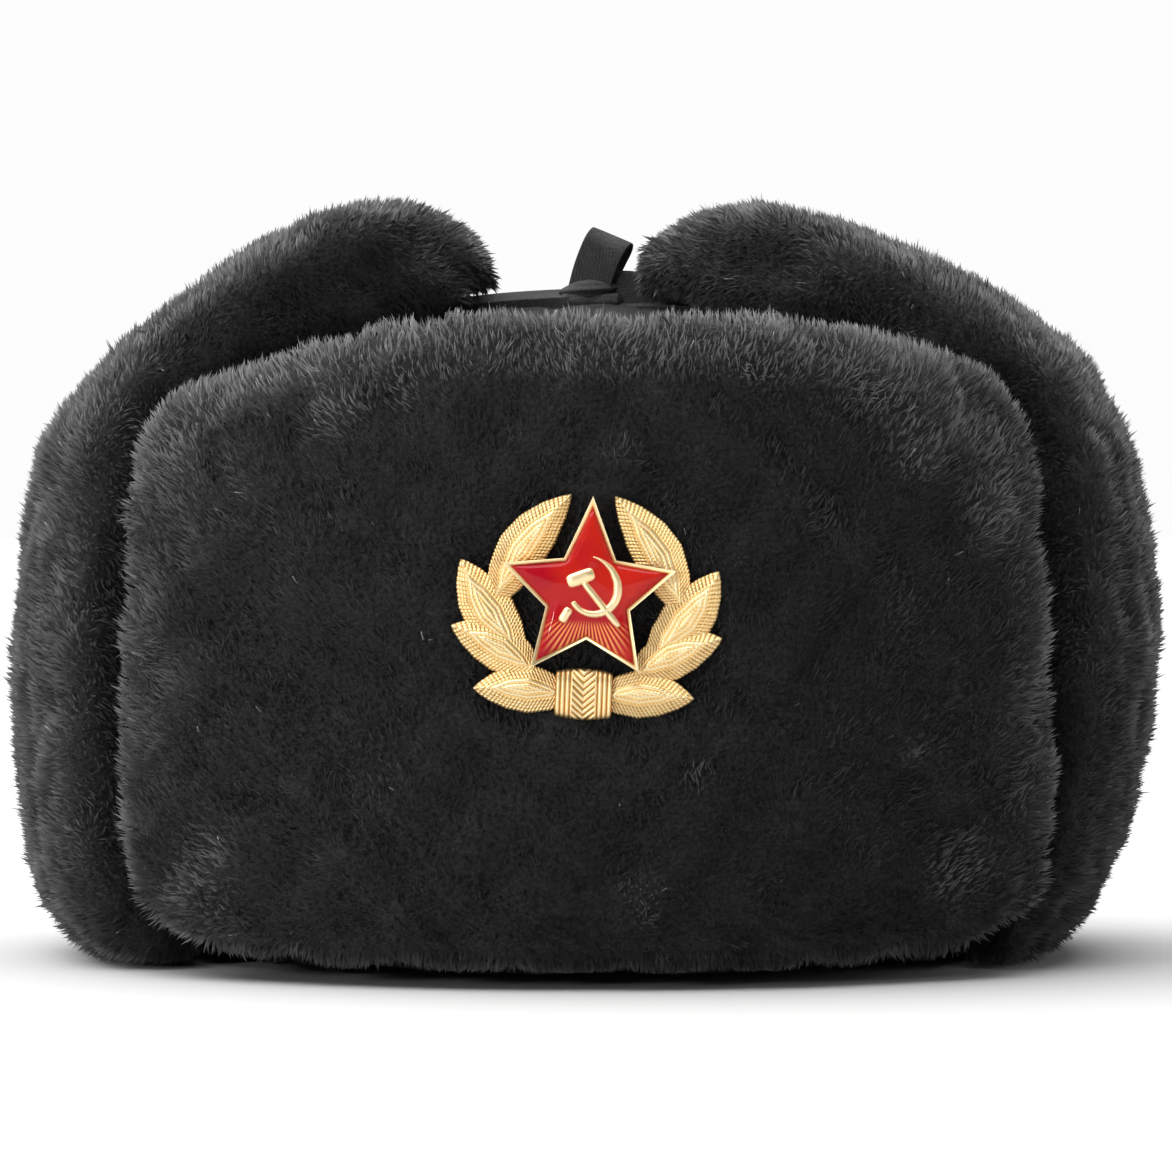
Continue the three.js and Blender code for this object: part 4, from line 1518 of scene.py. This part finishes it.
    def enamel(self, finish: Material) -> Piece:
        """The enamel, raised a little between the rims, with its plane's own map.

        Args:
            finish: its material.

        Returns:
            The enamel.
        """
        low = self.tray + self.enamel_gap
        high = low + self.enamel_thickness
        slope = 2.5
        shape = self.star_plate_shape(self.rim_width - 0.05, low, high)
        bmesh.ops.triangulate(shape, faces=shape.faces)
        bmesh.ops.subdivide_edges(shape, edges=shape.edges, cuts=5, use_grid_fill=True)
        edge = self.star_outline(self.rim_width)
        for vert in (vert for vert in shape.verts if vert.co.z > high - 0.01):
            flat = Vector((vert.co.x, vert.co.y, 0))
            gaps = []
            for start, end in zip(edge, edge[1:] + edge[:1]):
                side = end - start
                share = max(0, min(1, (flat - start).dot(side) / side.length_squared))
                gaps.append((flat - start - side * share).length)
            vert.co.z += self.enamel_dome * (min(slope, *gaps) / slope) ** 0.6 - 0.15
        layer = shape.loops.layers.uv.new(OWN_MAP)
        for loop in (loop for face in shape.faces for loop in face.loops):
            loop[layer].uv = (loop.vert.co.x / ENAMEL_SPAN + 0.5, loop.vert.co.y / ENAMEL_SPAN + 0.5)
        return piece_from("cockade_enamel", self.seated(shape), [finish], ["badge_enamel"])

    def joined(self, shapes: Sequence[Shape]) -> Shape:
        """Several shapes as one.

        Args:
            shapes: the shapes, which are freed.

        Returns:
            All of them in one mesh.
        """
        whole = bmesh.new()
        for shape in shapes:
            mesh = mesh_of(shape)
            whole.from_mesh(mesh)
            bpy.data.meshes.remove(mesh)
        return whole

    def build(self, leaf: Material, gilt: Material, enamel: Material) -> list[Piece]:
        """Makes the cockade.

        Args:
            leaf: the material of its leaves.
            gilt: the material of its other metal.
            enamel: the material of its enamel.

        Returns:
            The wreath, the star and the enamel.
        """
        strips = [self.leaf_strip(leaf, side) for leaf in self.leaves for side in (-1, 1)]
        wreath = self.seated(self.joined([*strips, self.binding()]))
        star = self.seated(self.joined([self.star(), *self.emblem()]))
        return [
            piece_from("cockade_wreath", wreath, [leaf, gilt], ["badge_wreath"]),
            piece_from("cockade_star", star, [gilt], ["badge_star"]),
            self.enamel(enamel),
        ]


COCKADE = Cockade()

# In these tables a dab's fourth number is painted light on its swell or side, and painted shade in its dent
# where it is below 0.
FRONT_DABS = (
    Dab((-51, -112, 115), 7, -0.8, 0.5),
    Dab((-44, -113, 117), 5, -0.5, 0.4),
    Dab((-39, -113, 125), 7, -1.2, 0.5),
    Dab((-35, -114, 119), 6, -1.0, 0.45),
    Dab((8, -126, 106), 7, -0.5, 0.35),
    Dab((31, -123, 86), 4, -0.4, 0.3),
    Dab((22, -125, 42), 5, -0.6, 0.4),
    Dab((65, -106, 46), 5, -0.4, 0.3),
    Dab((75, -97, 22), 12, -0.6, 0.4),
    Dab((11, -127, 18), 8, -0.5, 0.3),
    Dab((38, -113, 128), 12, -0.8, 0.35),
    Dab((57, -107, 121), 11, -1.2, 0.5),
    Dab((67, -104, 108), 11, -1.4, 0.5),
    Dab((80, -90, 92), 11, -1.2, 0.45),
    Dab((88, -80, 60), 12, -0.5, 0.3),
    Dab((88, -80, 38), 13, -0.5, 0.35),
    Dab((83, -78, 114), 9, 2.0, -0.2),
    Dab((-76, -96, 18), 16, 0, 0.35),
    Dab((-58, -108, 108), 10, 1.0, -0.1),
    Dab((45, -113, 105), 14, 1.0, -0.05),
)
EAR_LEFT_DABS = (
    Dab((-98, 0, 128), 46, 3.2),
    Dab((-33, -40, 153), 9, 1.6, -0.2),
    Dab((-40, -45, 139), 8, 1.4, -0.2),
    Dab((-60, -52, 139), 20, 1.5, -0.2),
    Dab((-96, -61, 105), 22, 0, 0.2),
    Dab((-96, -63, 72), 24, 0, 0.25),
    Dab((-96, -63, 38), 24, 0, 0.25),
    Dab((-45, -42, 134), 15, -3.2),
    Dab((-31, -39, 136), 17, -6),
    Dab((-19, -21, 142), 12, -2.8),
)
EAR_RIGHT_DABS = (
    Dab((36, -43, 148), 12, 1.0, -0.15),
    Dab((50, -50, 143), 9, -0.6, 0.15),
    Dab((86, -56, 123), 12, 1.2, -0.1),
    Dab((19, -33, 139), 15, -6.5),
    Dab((34, -39, 136), 16, -6),
    Dab((25, -37, 137), 9, -2.5),
    Dab((12, -22, 146), 13, -3.2),
    Dab((16, -24, 141), 11, -3),
)

FLAPS = (
    FurFlap("front_flap", Lay.FOREHEAD, seed=11, lowest=3.0, crest=1.7, spread=6, dabs=FRONT_DABS),
    FurFlap("neck_flap", Lay.NAPE, seed=23, strands=39000),
    FurFlap("ear_flap_left", Lay.EAR_AT_LEFT, seed=37, dabs=EAR_LEFT_DABS),
    FurFlap("ear_flap_right", Lay.EAR_AT_RIGHT, seed=53, dabs=EAR_RIGHT_DABS),
)


@dataclass(frozen=True)
class Lamp:
    """A soft lamp: a wide sky over everything, or a square panel. Places and sizes are in metres."""

    name: str
    place: Place
    strength: float
    spread: float = 70
    size: float = 0

    def build(self, target: Vector) -> None:
        """Makes the lamp.

        Args:
            target: what it is turned to.
        """
        light = bpy.data.lights.new(self.name, "AREA" if self.size else "SUN")
        light.energy = self.strength
        if self.size:
            light.size = self.size
        else:
            light.angle = math.radians(self.spread)
        lamp = bpy.data.objects.new(self.name, light)
        lamp.location = self.place
        lamp.rotation_euler = (target - Vector(self.place)).to_track_quat("-Z", "Y").to_euler()
        bpy.context.scene.collection.objects.link(lamp)


@dataclass
class Studio:
    """The floor, the lamps, the pale surround and the camera at the photo's angle. Sizes are in metres."""

    distance: float = 1.6
    pitch: float = 1.0
    target_height: float = 0.0785
    lens: float = 228.4
    wall_top: float = 0.16
    wall_light: float = 0.98
    room: float = 0.2
    floor_grey: float = 0.5
    lamps: tuple[Lamp, ...] = (
        Lamp("overhead", (-0.25, 0.1, 1.0), 6.2, 90),
        Lamp("panel", (-0.78, -1.3, 0.3), 4.8, size=0.16),
    )

    def build(self) -> None:
        """Makes the studio."""
        target = Vector((0, 0, self.target_height))
        for lamp in self.lamps:
            lamp.build(target)
        self.camera(target)
        self.floor()
        self.surround()
        bpy.context.scene.view_settings.view_transform = "Standard"

    def surround(self) -> None:
        """Makes the surround: a bright low wall, bright panels at both sides, and a dim room elsewhere."""
        world = bpy.data.worlds.new("surround")
        world.use_nodes = True
        graph = Graph(world.node_tree)
        x, y, z = graph.axes(graph.node("TexCoord").outputs["Generated"])
        wall = 1 - z.above(self.wall_top * 1.5, self.wall_top)
        left = (0 - x).above(0.45, 0.4) * (1 - z.above(0.8, 0.2))
        right = x.above(0.6, 0.4) * (1 - z.above(0.7, 0.2)) * 0.6
        front = (0 - y).above(0.45, 0.5)
        bright = wall.math("MAXIMUM", left).math("MAXIMUM", right) * (1 - front)
        light = bright * (self.wall_light - self.room)
        background = world.node_tree.nodes["Background"]
        graph.feed(background.inputs["Color"], light + self.room)
        bpy.context.scene.world = world

    def camera(self, target: Vector) -> None:
        """Makes the camera.

        Args:
            target: what it is turned to.
        """
        tip = math.radians(self.pitch)
        eye = target + Vector((0, -math.cos(tip), math.sin(tip))) * self.distance
        data = bpy.data.cameras.new("camera")
        data.lens = self.lens
        camera = bpy.data.objects.new("camera", data)
        camera.location = eye
        camera.rotation_euler = (math.pi / 2 - tip, 0, 0)
        bpy.context.scene.collection.objects.link(camera)
        bpy.context.scene.camera = camera

    def floor(self) -> None:
        """Makes the pale plain floor."""
        shape = bmesh.new()
        bmesh.ops.create_grid(shape, x_segments=1, y_segments=1, size=8)
        mesh = mesh_of(shape, "floor")
        finish = Shader("pale_floor", Base_Color=(self.floor_grey,) * 3, Roughness=0.9)
        mesh.materials.append(finish.material)
        floor = bpy.data.objects.new("floor", mesh)
        bpy.context.scene.collection.objects.link(floor)


def main() -> None:
    """Builds the hat and its studio."""
    logging.basicConfig(level=logging.INFO, format="%(message)s")
    Studio().build()
    crown = Crown()
    near = crown.surface()
    cloth = ClothFinish("crown_cloth", seams=crown.half_sizes).build()
    pieces = crown.build(cloth, LiningFinish().build())
    pelt_finishes = (PeltFinish().build(), ClothFinish("flap_cloth").build())
    pile_finish = PileFinish().build()
    for flap in FLAPS:
        pieces += flap.build(pelt_finishes, pile_finish, near)
    pieces += Ties().build(ClothFinish("tie_tape", dark=0.03, light=0.09, thread=0.5).build())
    gilt = [GiltFinish("gilt_leaf", beaded=True).build(), GiltFinish("gilt_metal").build()]
    pieces += COCKADE.build(*gilt, EnamelFinish().build())
    for piece in pieces:
        LOG.info("%s: %d faces", piece.name, len(piece.data.polygons))


if __name__ == "__main__":
    main()
